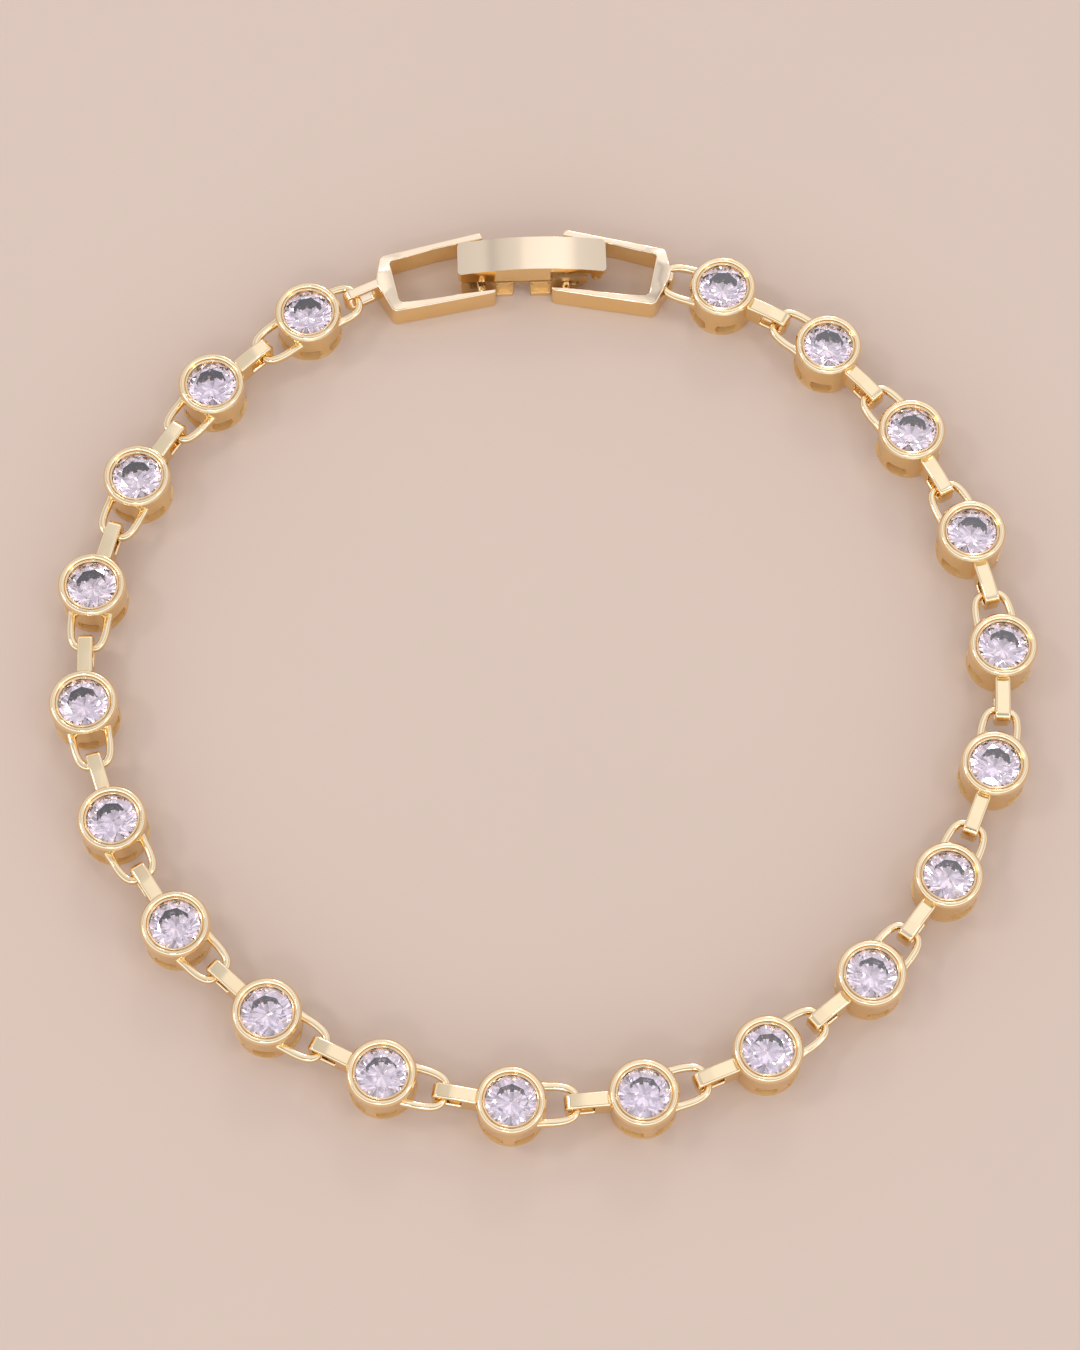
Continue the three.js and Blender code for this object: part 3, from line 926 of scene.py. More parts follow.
@dataclass
class RoundStone:
    """A round brilliant: table, stars, bezels and upper facets over a pointed pavilion."""

    finishes: Finishes
    diameter: float = 3.5
    girdle_z: float = 2.55
    girdle_thickness: float = 0.05
    mains: int = 8
    table_ratio: float = 0.57
    star_ratio: float = 0.75
    lower_half_ratio: float = 0.25
    point_ratio: float = 0.004
    point_corners: int = 3
    crown_angle: float = 32.5
    pavilion_angle: float = 40.8

    def mesh(self) -> bpy.types.Mesh:
        """Grows the stone as the hull of its rings of corners.

        Returns:
            The stone's mesh.
        """
        recipe = Recipe("round_brilliant")
        radius = recipe.size("Radius", self.diameter / 2)
        girdle = recipe.size("Girdle height", self.girdle_z)
        half_girdle = recipe.size("Half girdle", self.girdle_thickness / 2)
        crown = recipe.size("Crown slope", math.tan(math.radians(self.crown_angle)))
        pavilion = recipe.size("Pavilion slope", math.tan(math.radians(self.pavilion_angle)))
        table = recipe.size("Table ratio", self.table_ratio)
        star = recipe.size("Star ratio", self.star_ratio)
        lower = recipe.size("Lower half ratio", self.lower_half_ratio)
        half_step = math.pi / self.mains
        flat = math.cos(half_step)
        bottom, top = girdle - half_girdle, girdle + half_girdle
        table_z = top + radius * (1 - table) * crown
        star_z = top + radius * (1 - star * flat) * crown
        lower_z = bottom - radius * (1 - lower * flat) * pavilion
        rings = [
            self._ring(recipe, self.mains, radius * table, table_z),
            self._ring(recipe, self.mains, radius * star, star_z, half_step),
            self._ring(recipe, 2 * self.mains, radius, top),
            self._ring(recipe, 2 * self.mains, radius, bottom),
            self._ring(recipe, self.mains, radius * lower, lower_z, half_step),
            self._ring(recipe, self.point_corners, radius * self.point_ratio, bottom - radius * pavilion),
        ]
        corners = recipe.bench.wire("GeometryNodeJoinGeometry", "Geometry", {"Geometry": rings})
        hull = recipe.bench.wire("GeometryNodeConvexHull", "Convex Hull", {"Geometry": corners})
        recipe.close(hull, self.finishes.stone)
        return recipe.grow()

    @staticmethod
    def _ring(recipe: Recipe, count: int, radius: Wire, height: Wire, turn: float = 0.0) -> Wire:
        """A ring of corners.

        Args:
            recipe: The recipe that the ring belongs to.
            count: How many corners it has.
            radius: Its radius.
            height: Its height.
            turn: The angle of its first corner.

        Returns:
            The ring.
        """
        bench = recipe.bench
        circle = bench.wire("GeometryNodeMeshCircle", "Mesh", {"Vertices": count, "Radius": radius})
        values = {"Geometry": circle, "Translation": bench.vector(Z=height), "Rotation": Euler((0, 0, turn))}
        return bench.wire("GeometryNodeTransform", "Geometry", values)


@dataclass
class TubeLink:
    """One link: a tube setting with a flat loop on one side and an upright strap or a second loop.

    The tube's wall is given by radius, height and rounding, from its foot up the outside, over the rim
    and down the bore. The strap and its eye are given by distance, height and rounding.
    """

    finishes: Finishes
    bend: float = 11.0
    sides: int = 96
    foot: tuple[Corner, ...] = ((2.09, 0, 0.05), (2.09, 0.2, 0.05), (2.05, 0.27, 0.03))
    wall: tuple[Corner, ...] = ((2.06, 2.42, 0.05), (2.16, 2.55, 0.1))
    rim: tuple[Corner, ...] = ((2.17, 2.88, 0.14), (2.01, 3.112, 0.16), (1.85, 3.105, 0.08))
    groove: tuple[Corner, ...] = ((1.765, 3.03, 0.03), (1.735, 2.93, 0), (1.7, 2.99, 0.025))
    lip: tuple[Corner, ...] = ((1.6, 2.965, 0.07), (1.54, 2.78, 0.04), (1.54, 2.71, 0))
    seat: tuple[Corner, ...] = ((1.8, 2.6, 0), (1.8, 2.46, 0))
    bore: tuple[Corner, ...] = ((1.42, 2.1, 0), (1.42, 0, 0.06))
    inside_radius: float = 1.81
    inside_top: float = 2.65
    window_count: int = 5
    first_window: float = 60.0
    window_step: float = 60.0
    window_width: float = 1.4
    window_height: float = 0.95
    window_z: float = 0.66
    window_rounding: float = 0.28
    window_corner_steps: int = 5
    window_inner_reach: float = 1.25
    window_outer_reach: float = 2.46
    loop_z: float = 1.8
    loop_start: float = 1.25
    loop_half_width: float = 1.16
    loop_to_bar: float = 3.9
    short_loop_to_bar: float = 3.4
    loop_play: float = 0.08
    loop_power: float = 3.6
    wire_width: float = 0.5
    wire_height: float = 0.5
    wire_rounding: float = 0.19
    wire_corner_steps: int = 4
    route_points: int = 56
    wire_points: int = 64
    solder_flare: float = 0.15
    solder_reach: Point = (0.3, 0.95)
    strap_to_bar: float = 4.16
    strap_width: float = 0.98
    strap_edge: float = 0.15
    strap_outline: tuple[Corner, ...] = (
        (1.75, 0.8, 0), (4.86, 0.8, 0.55), (4.86, 2.53, 0.45), (3.605, 2.62, 4.0), (1.75, 2.53, 0),
    )
    strap_eye: tuple[Corner, ...] = (
        (3.0, 1.2, 0.12), (4.61, 1.2, 0.35), (4.61, 2.2, 0.3), (3.0, 2.2, 0.12),
    )
    windows: Recipe = field(init=False)
    wire: Recipe = field(init=False)

    def __post_init__(self) -> None:
        """Writes the recipes that every link shares."""
        self.windows = self._window_recipe()
        self.wire = self._wire_recipe()

    def mesh(self, last: bool) -> bpy.types.Mesh:
        """Builds the whole link in one body.

        Args:
            last: True for the link at the clasp, which has two loops.

        Returns:
            The link's mesh.
        """
        half = self.bend / 2
        link = combine(self.tube(), self.loop(self.loop_to_bar, 180 + half), Cut.JOIN)
        other = self.loop(self.short_loop_to_bar, -half) if last else self.strap(-half)
        return polished(combine(link, other, Cut.JOIN))

    def tube(self) -> bpy.types.Mesh:
        """The pierced tube with its rolled rim, groove and burnished lip.

        Returns:
            The tube's mesh.
        """
        outside = [*self.foot, *self.wall, *self.rim]
        inside = [*self.groove, *self.lip, *self.seat, *self.bore]
        tube = turned("tube", rounded([*outside, *inside]), self.sides, self.finishes.link)
        # The bore and seat get the pierced finish, whose orange is painted shade inside the tube.
        tube.materials.append(self.finishes.pierced)
        for face in tube.polygons:
            within = face.center.xy.length < self.inside_radius
            face.material_index = int(within and face.center.z < self.inside_top)
        return self.windows.grow(start=tube)

    def loop(self, to_bar: float, direction: float) -> bpy.types.Mesh:
        """A flat loop of wire whose ends are soldered to the tube.

        Args:
            to_bar: The distance from the tube's axis to the middle of the loop's outer stretch.
            direction: Where the loop points, in degrees.

        Returns:
            The loop's mesh.
        """
        length = to_bar + self.loop_play - self.loop_start
        return pointed(self.wire.grow({"Length": length}), direction)

    def strap(self, direction: float) -> bpy.types.Mesh:
        """The upright strap with its long eye.

        Args:
            direction: Where the strap points, in degrees.

        Returns:
            The strap's mesh.
        """
        outline, eye = rounded(self.strap_outline), rounded(self.strap_eye)
        strap = plate("strap", outline, self.strap_width, self.finishes.link, [eye], edge=self.strap_edge)
        return pointed(upright(strap), direction)

    def _window_recipe(self) -> Recipe:
        """Cuts the row of windows above the base of the tube.

        Returns:
            The recipe, which takes the tube in.
        """
        recipe = Recipe("tube_windows")
        bench = recipe.bench
        count = recipe.size("Count", self.window_count, "NodeSocketInt")
        first = recipe.size("First angle", math.radians(self.first_window))
        width = recipe.size("Width", self.window_width)
        height = recipe.size("Height", self.window_height)
        middle = recipe.size("Middle height", self.window_z)
        inner = recipe.size("Inner reach", self.window_inner_reach)
        outer = recipe.size("Outer reach", self.window_outer_reach)
        section = recipe.section(width, height, height * self.window_rounding, self.window_corner_steps)
        ends = {"Start": bench.vector(X=inner, Z=middle), "End": bench.vector(X=outer, Z=middle)}
        cutter = recipe.sweep(bench.wire("GeometryNodeCurvePrimitiveLine", "Curve", ends), section)
        # The window walls get the pierced finish, whose orange is painted shade inside the tube.
        values = {"Geometry": cutter, "Material": self.finishes.pierced}
        cutter = bench.wire("GeometryNodeSetMaterial", "Geometry", values)
        index = bench.wire("GeometryNodeInputIndex", "Index")
        turn = bench.vector(Z=first + index * math.radians(self.window_step))
        row = bench.wire("GeometryNodePoints", 0, {"Count": count})
        values = {"Points": row, "Instance": cutter, "Rotation": turn}
        cutters = bench.wire("GeometryNodeInstanceOnPoints", "Instances", values)
        cutters = bench.wire("GeometryNodeRealizeInstances", "Geometry", {"Geometry": cutters})
        values = {"Mesh 1": recipe.given("Geometry"), "Mesh 2": cutters}
        settings = {"operation": Cut.CARVE.value, "solver": "EXACT"}
        recipe.close(bench.wire("GeometryNodeMeshBoolean", "Mesh", values, settings))
        return recipe

    def _wire_recipe(self) -> Recipe:
        """Bends a loop of wire along a square-shouldered curve, thicker where it is soldered on.

        Returns:
            The recipe, whose input Length gives the loop's reach.
        """
        recipe = Recipe("wire_loop")
        bench = recipe.bench
        length = recipe.size("Length", self.loop_to_bar + self.loop_play - self.loop_start)
        half_width = recipe.size("Half width", self.loop_half_width)
        start = recipe.size("Start", self.loop_start)
        level = recipe.size("Height", self.loop_z)
        roundness = recipe.size("Corner power", 2 / self.loop_power)
        flare = recipe.size("Solder flare", self.solder_flare)
        line = bench.wire("GeometryNodeCurvePrimitiveLine", "Curve", {"End": (1, 0, 0)})
        values = {"Curve": line, "Count": self.route_points}
        line = bench.wire("GeometryNodeResampleCurve", "Curve", values)
        along = bench.wire("GeometryNodeSplineParameter", "Factor")
        angle = bench.math("ARCCOSINE", along * -2 + 1)
        sine = bench.math("MAXIMUM", bench.math("SINE", angle), 0.0)
        cosine = bench.math("COSINE", angle)
        reach = start + length * sine ** roundness
        across = bench.math("ABSOLUTE", cosine) ** roundness * bench.math("SIGN", cosine) * half_width
        values = {"Geometry": line, "Position": bench.vector(X=reach, Y=across, Z=level)}
        route = bench.wire("GeometryNodeSetPosition", "Geometry", values)
        values = {"Curve": route, "Count": self.wire_points}
        route = bench.wire("GeometryNodeResampleCurve", "Curve", values)
        size = (self.wire_width, self.wire_height)
        section = recipe.section(*size, self.wire_rounding, self.wire_corner_steps)
        place = bench.wire("GeometryNodeInputPosition", "Position")
        from_tube = bench.wire("ShaderNodeSeparateXYZ", "X", {"Vector": place}) - start
        nearness = 1 - from_tube.smooth(*self.solder_reach)
        recipe.close(recipe.sweep(route, section, 1 + nearness * flare), self.finishes.link)
        return recipe


@dataclass
class Chain:
    """The twenty links and their stones, laid clockwise from the clasp."""

    link: TubeLink
    stone: RoundStone
    first_bar: Spot = Spot(8.29, 28.68, 0)
    headings: tuple[float, ...] = (
        -17, -36.5, -51.5, -64.5, -81, -100.5, -115.5, -129.5, -146, -163.5,
        -179, -195, -211.5, -226, -241, -257.5, -274.5, -292, -307, -321.5,
    )

    def build(self, shift: Vector) -> None:
        """Lays each link and its stone.

        Args:
            shift: From the clasp's drawing origin to the part's origin, in millimetres.
        """
        strap_link, last_link = self.link.mesh(last=False), self.link.mesh(last=True)
        stone = self.stone.mesh()
        bar = self.first_bar.moved(shift)
        for number, heading in enumerate(self.headings, start=1):
            axis = bar.ahead(self.link.loop_to_bar, heading)
            spot = Spot(axis.x, axis.y, heading - self.link.bend / 2).matrix()
            mesh = last_link if number == len(self.headings) else strap_link
            lay(f"tube_link_{number:02d}", mesh, spot, f"setting_{number:02d}")
            lay(f"brilliant_{number:02d}", stone, spot, f"stone_{number:02d}")
            bar = axis.ahead(self.link.strap_to_bar, heading - self.link.bend)


@dataclass
class ClaspFrame:
    """An open frame at one end of the clasp, with a cross bar that a leaf holds.

    Its corners are given by x, y or height, and rounding. Its x runs from the outer end to the arms' tips.
    """

    side: Side
    finishes: Finishes
    length: float = 7.6
    arm_height: float = 1.95
    edge: float = 0.09
    outer_end: tuple[Corner, ...] = ((0, 0.22, 0.1), (0.6, 1.92, 0.3), (0.85, 2.12, 0.3))
    tip_half_width: float = 2.3
    tip_rounding: float = 0.28
    step_half_width: float = 1.78
    step_rounding: float = 0.1
    inner_half_width: float = 1.58
    inner_rounding: float = 0.32
    end_thickness: float = 1.2
    flare_start_x: float = 1.6
    flare_end_x: float = 4.2
    flare_rounding: float = 0.8
    wall_margin: float = 0.05
    wall_step_margin: float = 0.02
    wall_lean: float = 0.3
    dome_rise: float = 0.5
    dome_end_x: float = 3.0
    dome_half_width: float = 0.6
    dome_foot_half_width: float = 2.3
    dome_foot: float = 0.4
    slices: int = 15
    slice_length: float = 0.2
    slice_width: float = 0.15
    slope_start_x: float = 4.1
    slope_width: float = 0.35
    slope_drop: float = 0.5
    slope_margin: float = 0.01
    bar_x: float = 6.75
    bar_z: float = 1.15
    bar_radius: float = 0.28
    bar_edge: float = 0.02
    bar_overlap: float = 0.2
    pocket: tuple[Point, Point, Point] = ((-1, 0.78), (-1.45, 1.45), (1.5, 2.1))
    post: tuple[Corner, ...] = ((0.85, 0.8, 0), (0.85, 2.3, 0), (-0.2, 2.3, 0.18), (-0.2, 0.8, 0.18))
    post_room: tuple[Corner, ...] = (
        (0.04, 1.5, 0.06), (0.04, 2.1, 0.06), (0.78, 2.1, 0.06), (0.78, 1.5, 0.06),
    )
    post_edge: float = 0.05
    eye: tuple[Corner, ...] = ((0.4, 0.5, 0), (0.4, 2.42, 0), (-2.37, 2.47, 0.45), (-2.37, 0.5, 0.75))
    eye_room: tuple[Corner, ...] = (
        (-0.3, 0.98, 0.2), (-0.3, 2.1, 0.2), (-2.12, 2.13, 0.28), (-2.12, 0.98, 0.4),
    )
    eye_edge: float = 0.12
    eye_width: float = 0.62
    eye_turn: float = 12.0

    def mesh(self) -> bpy.types.Mesh:
        """Builds the frame in one body.

        Returns:
            The frame's mesh.
        """
        body, bright = self._arms(), self.finishes.bright
        if self.side is Side.RIGHT:
            # The pocket's cut faces take the cast finish, partly painted shade.
            body = combine(body, block(*self.pocket, self.finishes.cast), Cut.CARVE)
        bar_length = 2 * (self.step_half_width + self.bar_overlap)
        bar = rod(self.bar_radius, bar_length, self.bar_edge, bright, self.bar_x, self.bar_z)
        body = combine(body, bar, Cut.JOIN)
        if self.side is Side.RIGHT:
            ending = self._upright_ring(self.post, self.post_room, self.post_edge)
        else:
            ending = pointed(self._upright_ring(self.eye, self.eye_room, self.eye_edge), self.eye_turn)
        return polished(combine(body, ending, Cut.JOIN))

    def _upright_ring(self, outline: Sequence[Corner], room: Sequence[Corner],
                      edge: float) -> bpy.types.Mesh:
        """The post that holds the first link's loop, or the eye that holds the last link's."""
        outline, rooms = rounded(outline), [rounded(room)]
        return upright(plate("ring", outline, self.eye_width, self.finishes.bright, rooms, edge=edge))

    def _arms(self) -> bpy.types.Mesh:
        """Both arms and the outer end, which rises in a soft dome between them.

        Returns:
            Their mesh.
        """
        half = [
            *self.outer_end,
            (self.length, self.tip_half_width, self.tip_rounding),
            (self.length, self.step_half_width, self.step_rounding),
            (self.flare_end_x, self.step_half_width, self.flare_rounding),
            (self.flare_start_x, self.inner_half_width, self.flare_rounding),
            (self.end_thickness, self.inner_half_width, self.inner_rounding),
        ]
        mirrored = [(x, -y, radius) for x, y, radius in reversed(half)]
        outline = rounded([*half, *mirrored])
        arms = plate("arms", outline, self.arm_height, self.finishes.bright, edge=self.edge)
        arms = shifted(arms, 0, 0, self.arm_height / 2)
        # The inner walls get the cast finish, whose deeper orange is partly painted shade.
        arms.materials.append(self.finishes.cast)
        for face in arms.polygons:
            face.material_index = int(self._is_inner_wall(face))
        arms = combine(arms, self._slope(1 if self.side is Side.RIGHT else -1), Cut.CARVE)
        rows = range(1, self.slices + 1)
        columns = range(-self.slices, self.slices + 1)
        arms = sliced(arms, Vector((1, 0, 0)), [self.slice_length * i for i in rows])
        arms = sliced(arms, Vector((0, 1, 0)), [self.slice_width * i for i in columns])
        for vertex in arms.vertices:
            along = 1 - smoothstep(0, self.dome_end_x, vertex.co.x)
            across = 1 - smoothstep(self.dome_half_width, self.dome_foot_half_width, abs(vertex.co.y))
            lift = smoothstep(self.arm_height * self.dome_foot, self.arm_height, vertex.co.z)
            vertex.co.z += self.dome_rise * along * across * lift
        return arms

    def _is_inner_wall(self, face: bpy.types.MeshPolygon) -> bool:
        """Whether a face belongs to the upright walls inside the frame, which get the rougher cast finish,
        partly painted shade.

        Args:
            face: A face of the arms.

        Returns:
            True if it does.
        """
        between = self.end_thickness < face.center.x < self.length - self.wall_margin
        inside = abs(face.center.y) < self.step_half_width + self.wall_step_margin
        return between and inside and abs(face.normal.z) < self.wall_lean

    def _slope(self, sign: int) -> bpy.types.Mesh:
        """The wedge that thins the top of an arm on its inner side, towards its tip.

        Args:
            sign: 1 for the arm at positive y and -1 for the other one.

        Returns:
            The wedge's mesh.
        """
        end, above = self.length + self.slope_margin, self.arm_height + self.slope_margin
        inner = self.step_half_width - self.slope_margin
        points = [
            Vector((self.slope_start_x, inner * sign, above)),
            Vector((end, inner * sign, above)),
            Vector((end, (inner + self.slope_width) * sign, above)),
            Vector((end, inner * sign, self.arm_height - self.slope_drop)),
        ]
        faces = [(0, 1, 2), (0, 3, 1), (1, 3, 2), (0, 2, 3)]
        if sign < 0:
            faces = [tuple(reversed(face)) for face in faces]
        return solid("slope", points, faces, self.finishes.bright)


@dataclass
class Leaves:
    """The fold-over middle of the clasp: a channelled base leaf, an arched cover and the pin between them.

    A name that ends in _x or _z and holds two numbers gives the limits along the leaf or in height.
    """

    finishes: Finishes
    cover_half_length: float = 4.9
    cover_half_width: float = 1.19
    cover_corner: float = 0.3
    cover_top: float = 3.4
    cover_rise: float = 0.65
    cover_thickness: float = 0.5
    cover_edge: float = 0.13
    cover_edge_steps: int = 4
    limits_height: float = 20.0
    cover_wall: float = 0.29
    cover_wall_bottom: float = 1.75
    cover_wall_end_x: float = 1.2
    arch_steps: int = 40
    under_arch_steps: int = 18
    hollow_steps: int = 24
    hollow_overrun: float = 1.0
    hollow_bottom: float = 1.0
    base_half_width: float = 1.14
    base_cheek: float = 0.28
    base_end_x: float = -4.7
    base_heel: tuple[Point, ...] = ((1.9, 0), (2.3, 0.5), (3.1, 0.55), (3.85, 1.45))
    base_top: float = 1.45
    raised_top: float = 1.95
    raised_x: Point = (1.35, 3.7)
    channel_end_x: float = -4.4
    channel_floor: float = 0.35
    channel_heel: tuple[Point, ...] = ((1.75, 0.35), (2.2, 0.77), (3.2, 0.8), (3.5, 1.2))
    channel_top: float = 3.0
    left_bar_x: float = -3.66
    right_bar_x: float = 2.54
    bar_play: float = 0.57
    notch_rounding: float = 0.25
    notch_round_z: float = 0.9
    notch_steps: int = 6
    bar_hole_z: Point = (0.8, 1.5)
    blocks_x: tuple[Point, ...] = ((-2.4, -1.3), (-0.1, 1.2))
    block_z: Point = (0.1, 1.4)
    block_root: float = 0.1
    block_half_width: float = 1.32
    recess_margin: float = 0.14
    recess_overrun: float = 0.1
    recess_z: Point = (0.4, 2)
    ledge_root: float = 0.12
    ledge_half_width: float = 1.42
    ledge_top: float = 0.35
    ledge_edge: float = 0.06
    gap_x: Point = (-1.25, -0.15)
    gap_z: Point = (-1, 3)
    gap_half_width: float = 0.4
    tongue_x: Point = (3.65, 5)
    tongue_z: Point = (-0.01, 3)
    tongue_half_width: float = 0.5
    cut_half_width: float = 2.0
    hinge_x: float = 4.25
    hinge_z: float = 1.85
    knuckle_radius: float = 0.36
    knuckle_steps: int = 14
    lug_gap: float = 0.06
    lug_tops: Point = (2.6, 2.5)
    lug_fullness: float = 0.99
    lug_edge: float = 0.03
    pin_radius: float = 0.17
    pin_length: float = 2.2
    pin_edge: float = 0.05
    pin_hole_radius: float = 0.22
    pin_hole_length: float = 4.0

    def cover(self) -> bpy.types.Mesh:
        """The arched cover with its hollow underside and two hinge lugs.

        Returns:
            The cover's mesh.
        """
        reach, half, corner = self.cover_half_length, self.cover_half_width, self.cover_corner
        bright, cast = self.finishes.bright, self.finishes.cast
        side = [
            (-reach, self.cover_wall_bottom),
            (self.cover_wall_end_x, self.cover_wall_bottom),
            *self._arch(self.cover_thickness, self.cover_wall_end_x, reach, self.under_arch_steps),
            *self._arch(0, reach, -reach, self.arch_steps),
        ]
        cover = upright(plate("cover", side, 2 * half, bright))
        limits = rounded([
            (-reach, -half, corner), (reach, -half, corner), (reach, half, corner), (-reach, half, corner),
        ])
        cover = combine(cover, plate("limits", limits, self.limits_height, bright), Cut.KEEP_COMMON)
        cover = softened(cover, self.cover_edge, self.cover_edge_steps)
        hollow_end, open_end = -reach + self.cover_wall, reach + self.hollow_overrun
        hollow = [
            (hollow_end, self.hollow_bottom),
            (open_end, self.hollow_bottom),
            *self._arch(self.cover_thickness, open_end, hollow_end, self.hollow_steps),
        ]
        # The hollow's cut faces take the cast finish, partly painted shade under the cover.
        hollow = upright(plate("hollow", hollow, 2 * (half - self.cover_wall), cast))
        cover = combine(cover, hollow, Cut.CARVE)
        left, right = self.hinge_x - self.knuckle_radius, self.hinge_x + self.knuckle_radius
        foot, turn = self.hinge_z - self.knuckle_radius, self.knuckle_radius * self.lug_fullness
        left_top, right_top = self.lug_tops
        lug = rounded([(left, foot, turn), (right, foot, turn), (right, right_top, 0), (left, left_top, 0)])
        gap = self.tongue_half_width + self.lug_gap
        thickness = self.base_half_width - gap
        for sign in (-1, 1):
            ear = upright(plate("lug", lug, thickness, bright, edge=self.lug_edge))
            cover = combine(cover, shifted(ear, 0, sign * (gap + thickness / 2), 0), Cut.JOIN)
        return polished(combine(cover, self._pin_hole(), Cut.CARVE))

    def base(self) -> bpy.types.Mesh:
        """The channelled leaf underneath, in the rougher cast finish, whose deeper orange is partly painted
        shade.

        Returns:
            The leaf's mesh.
        """
        cast, width = self.finishes.cast, self.base_half_width
        leaf = upright(plate("leaf", self._cheeks(), 2 * width, cast, [self._bar_hole()]))
        channel = [
            (self.channel_end_x, self.channel_floor), *self.channel_heel,
            (self.channel_heel[-1][0], self.channel_top), (self.channel_end_x, self.channel_top),
        ]
        channel = upright(plate("channel", channel, 2 * (width - self.base_cheek), cast))
        leaf = combine(leaf, channel, Cut.CARVE)
        cuts = (
            (self.tongue_x, self.tongue_half_width, self.tongue_z),
            (self.gap_x, self.gap_half_width, self.gap_z),
        )
        for sign in (-1, 1):
            for x, inner, z in cuts:
                leaf = self._carve(leaf, x, (inner * sign, self.cut_half_width * sign), z)
            for limits in self.blocks_x:
                ear, lip = self._ear(limits, sign)
                leaf = combine(combine(leaf, ear, Cut.JOIN), lip, Cut.JOIN)
        return polished(combine(leaf, self._pin_hole(), Cut.CARVE))

    def pin(self) -> bpy.types.Mesh:
        """The hinge pin with softly headed ends."""
        bright, size = self.finishes.bright, (self.pin_radius, self.pin_length, self.pin_edge)
        return polished(rod(*size, bright, self.hinge_x, self.hinge_z))

    def _arch(self, drop: float, start: float, end: float, steps: int) -> list[Point]:
        """Points on the cover's arch.

        Args:
            drop: How far they lie under the arch.
            start: The x that they start from.
            end: The x that they end at.
            steps: How many steps they make.

        Returns:
            The points, both ends included.
        """
        places = [start + (end - start) * i / steps for i in range(steps + 1)]
        top = self.cover_top - drop
        return [(x, top - self.cover_rise * (x / self.cover_half_length) ** 2) for x in places]

    def _cheeks(self) -> list[Point]:
        """The side view of the base leaf, with the open notch for the left bar.

        Returns:
            The outline's points.
        """
        notch_start, notch_end = self.left_bar_x - self.bar_play, self.left_bar_x + self.bar_play
        raised_start, raised_end = self.raised_x
        turn, level, steps = self.notch_rounding, self.notch_round_z, self.notch_steps
        return [
            (self.base_end_x, 0), *self.base_heel,
            *arc((self.hinge_x, self.hinge_z), self.knuckle_radius, -90, 90, self.knuckle_steps),
            (raised_end, self.raised_top), (raised_start, self.raised_top), (raised_start, self.base_top),
            (notch_end, self.base_top),
            *arc((notch_end - turn, level), turn, 0, -90, steps),
            *arc((notch_start + turn, level), turn, -90, -180, steps),
            (notch_start, self.base_top), (self.base_end_x, self.base_top),
        ]

    def _bar_hole(self) -> list[Point]:
        """The side view of the hole for the right bar.

        Returns:
            The outline's points.
        """
        start, end = self.right_bar_x - self.bar_play, self.right_bar_x + self.bar_play
        bottom, top = self.bar_hole_z
        corners = ((start, bottom), (end, bottom), (end, top), (start, top))
        return rounded([(x, z, self.notch_rounding) for x, z in corners])

    def _ear(self, limits: Point, sign: int) -> tuple[bpy.types.Mesh, bpy.types.Mesh]:
        """A hollowed block on one side of the base leaf, and the bright ledge under it.

        Args:
            limits: The block's two ends along the leaf.
            sign: 1 for the far side and -1 for the near one.

        Returns:
            The block and the ledge.
        """
        cast, width, outer = self.finishes.cast, self.base_half_width, self.block_half_width
        root, ledge_root = (width - self.block_root) * sign, (width - self.ledge_root) * sign
        # The block and its recess are in the cast finish, partly painted shade.
        ear = block(limits, tuple(sorted((root, outer * sign))), self.block_z, cast)
        inside = (limits[0] + self.recess_margin, limits[1] - self.recess_margin)
        depth = ((outer - self.recess_margin) * sign, (outer + self.recess_overrun) * sign)
        ear = self._carve(ear, inside, depth, self.recess_z)
        across = tuple(sorted((ledge_root, self.ledge_half_width * sign)))
        lip = softened(block(limits, across, (0, self.ledge_top), self.finishes.bright), self.ledge_edge)
        return ear, lip

    def _carve(self, mesh: bpy.types.Mesh, x: Point, y: Point, z: Point) -> bpy.types.Mesh:
        """Carves a block out of a mesh, with its limits across the leaf in any order; the cut faces take the
        cast finish, partly painted shade.
        """
        return combine(mesh, block(x, tuple(sorted(y)), z, self.finishes.cast), Cut.CARVE)

    def _pin_hole(self) -> bpy.types.Mesh:
        """The cutter for the hole that the pin runs in, whose faces take the cast finish, partly painted
        shade.
        """
        cast = self.finishes.cast
        return rod(self.pin_hole_radius, self.pin_hole_length, 0, cast, self.hinge_x, self.hinge_z)


@dataclass
class Clasp:
    """The fold-over clasp: two frames and the leaves between them."""

    finishes: Finishes
    right_spot: Spot = Spot(8.62, 28.64, 169.15)
    left_spot: Spot = Spot(-10.77, 28.07, 13.7)
    leaves_spot: Spot = Spot(-0.55, 29.78, 1.8)
    leaves: Leaves = field(init=False)

    def __post_init__(self) -> None:
        """Makes the leaves in the same finishes."""
        self.leaves = Leaves(self.finishes)

    def shift(self) -> Vector:
        """From the clasp's drawing origin to the part's origin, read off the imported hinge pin.

        Returns:
            The shift in millimetres.
        """
        low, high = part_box("hinge_pin")
        drawn = self.leaves_spot.matrix() @ Vector((self.leaves.hinge_x, 0, self.leaves.hinge_z))
        return (low + high) / 2 / METRES_PER_MM - drawn

    def build(self) -> None:
        """Lays the clasp's five pieces."""
        shift = self.shift()
        spots = (self.right_spot, self.left_spot, self.leaves_spot)
        right, left, middle = (spot.moved(shift).matrix() for spot in spots)
        right_frame = ClaspFrame(Side.RIGHT, self.finishes).mesh()
        left_frame = ClaspFrame(Side.LEFT, self.finishes).mesh()
        lay("right_frame", right_frame, right, "clasp_frame_right")
        lay("left_frame", left_frame, left, "clasp_frame_left")
        lay("base_leaf", self.leaves.base(), middle, "clasp_base")
        lay("cover_leaf", self.leaves.cover(), middle, "clasp_cover", Body.COVER)
        lay("pin", self.leaves.pin(), middle, "hinge_pin")


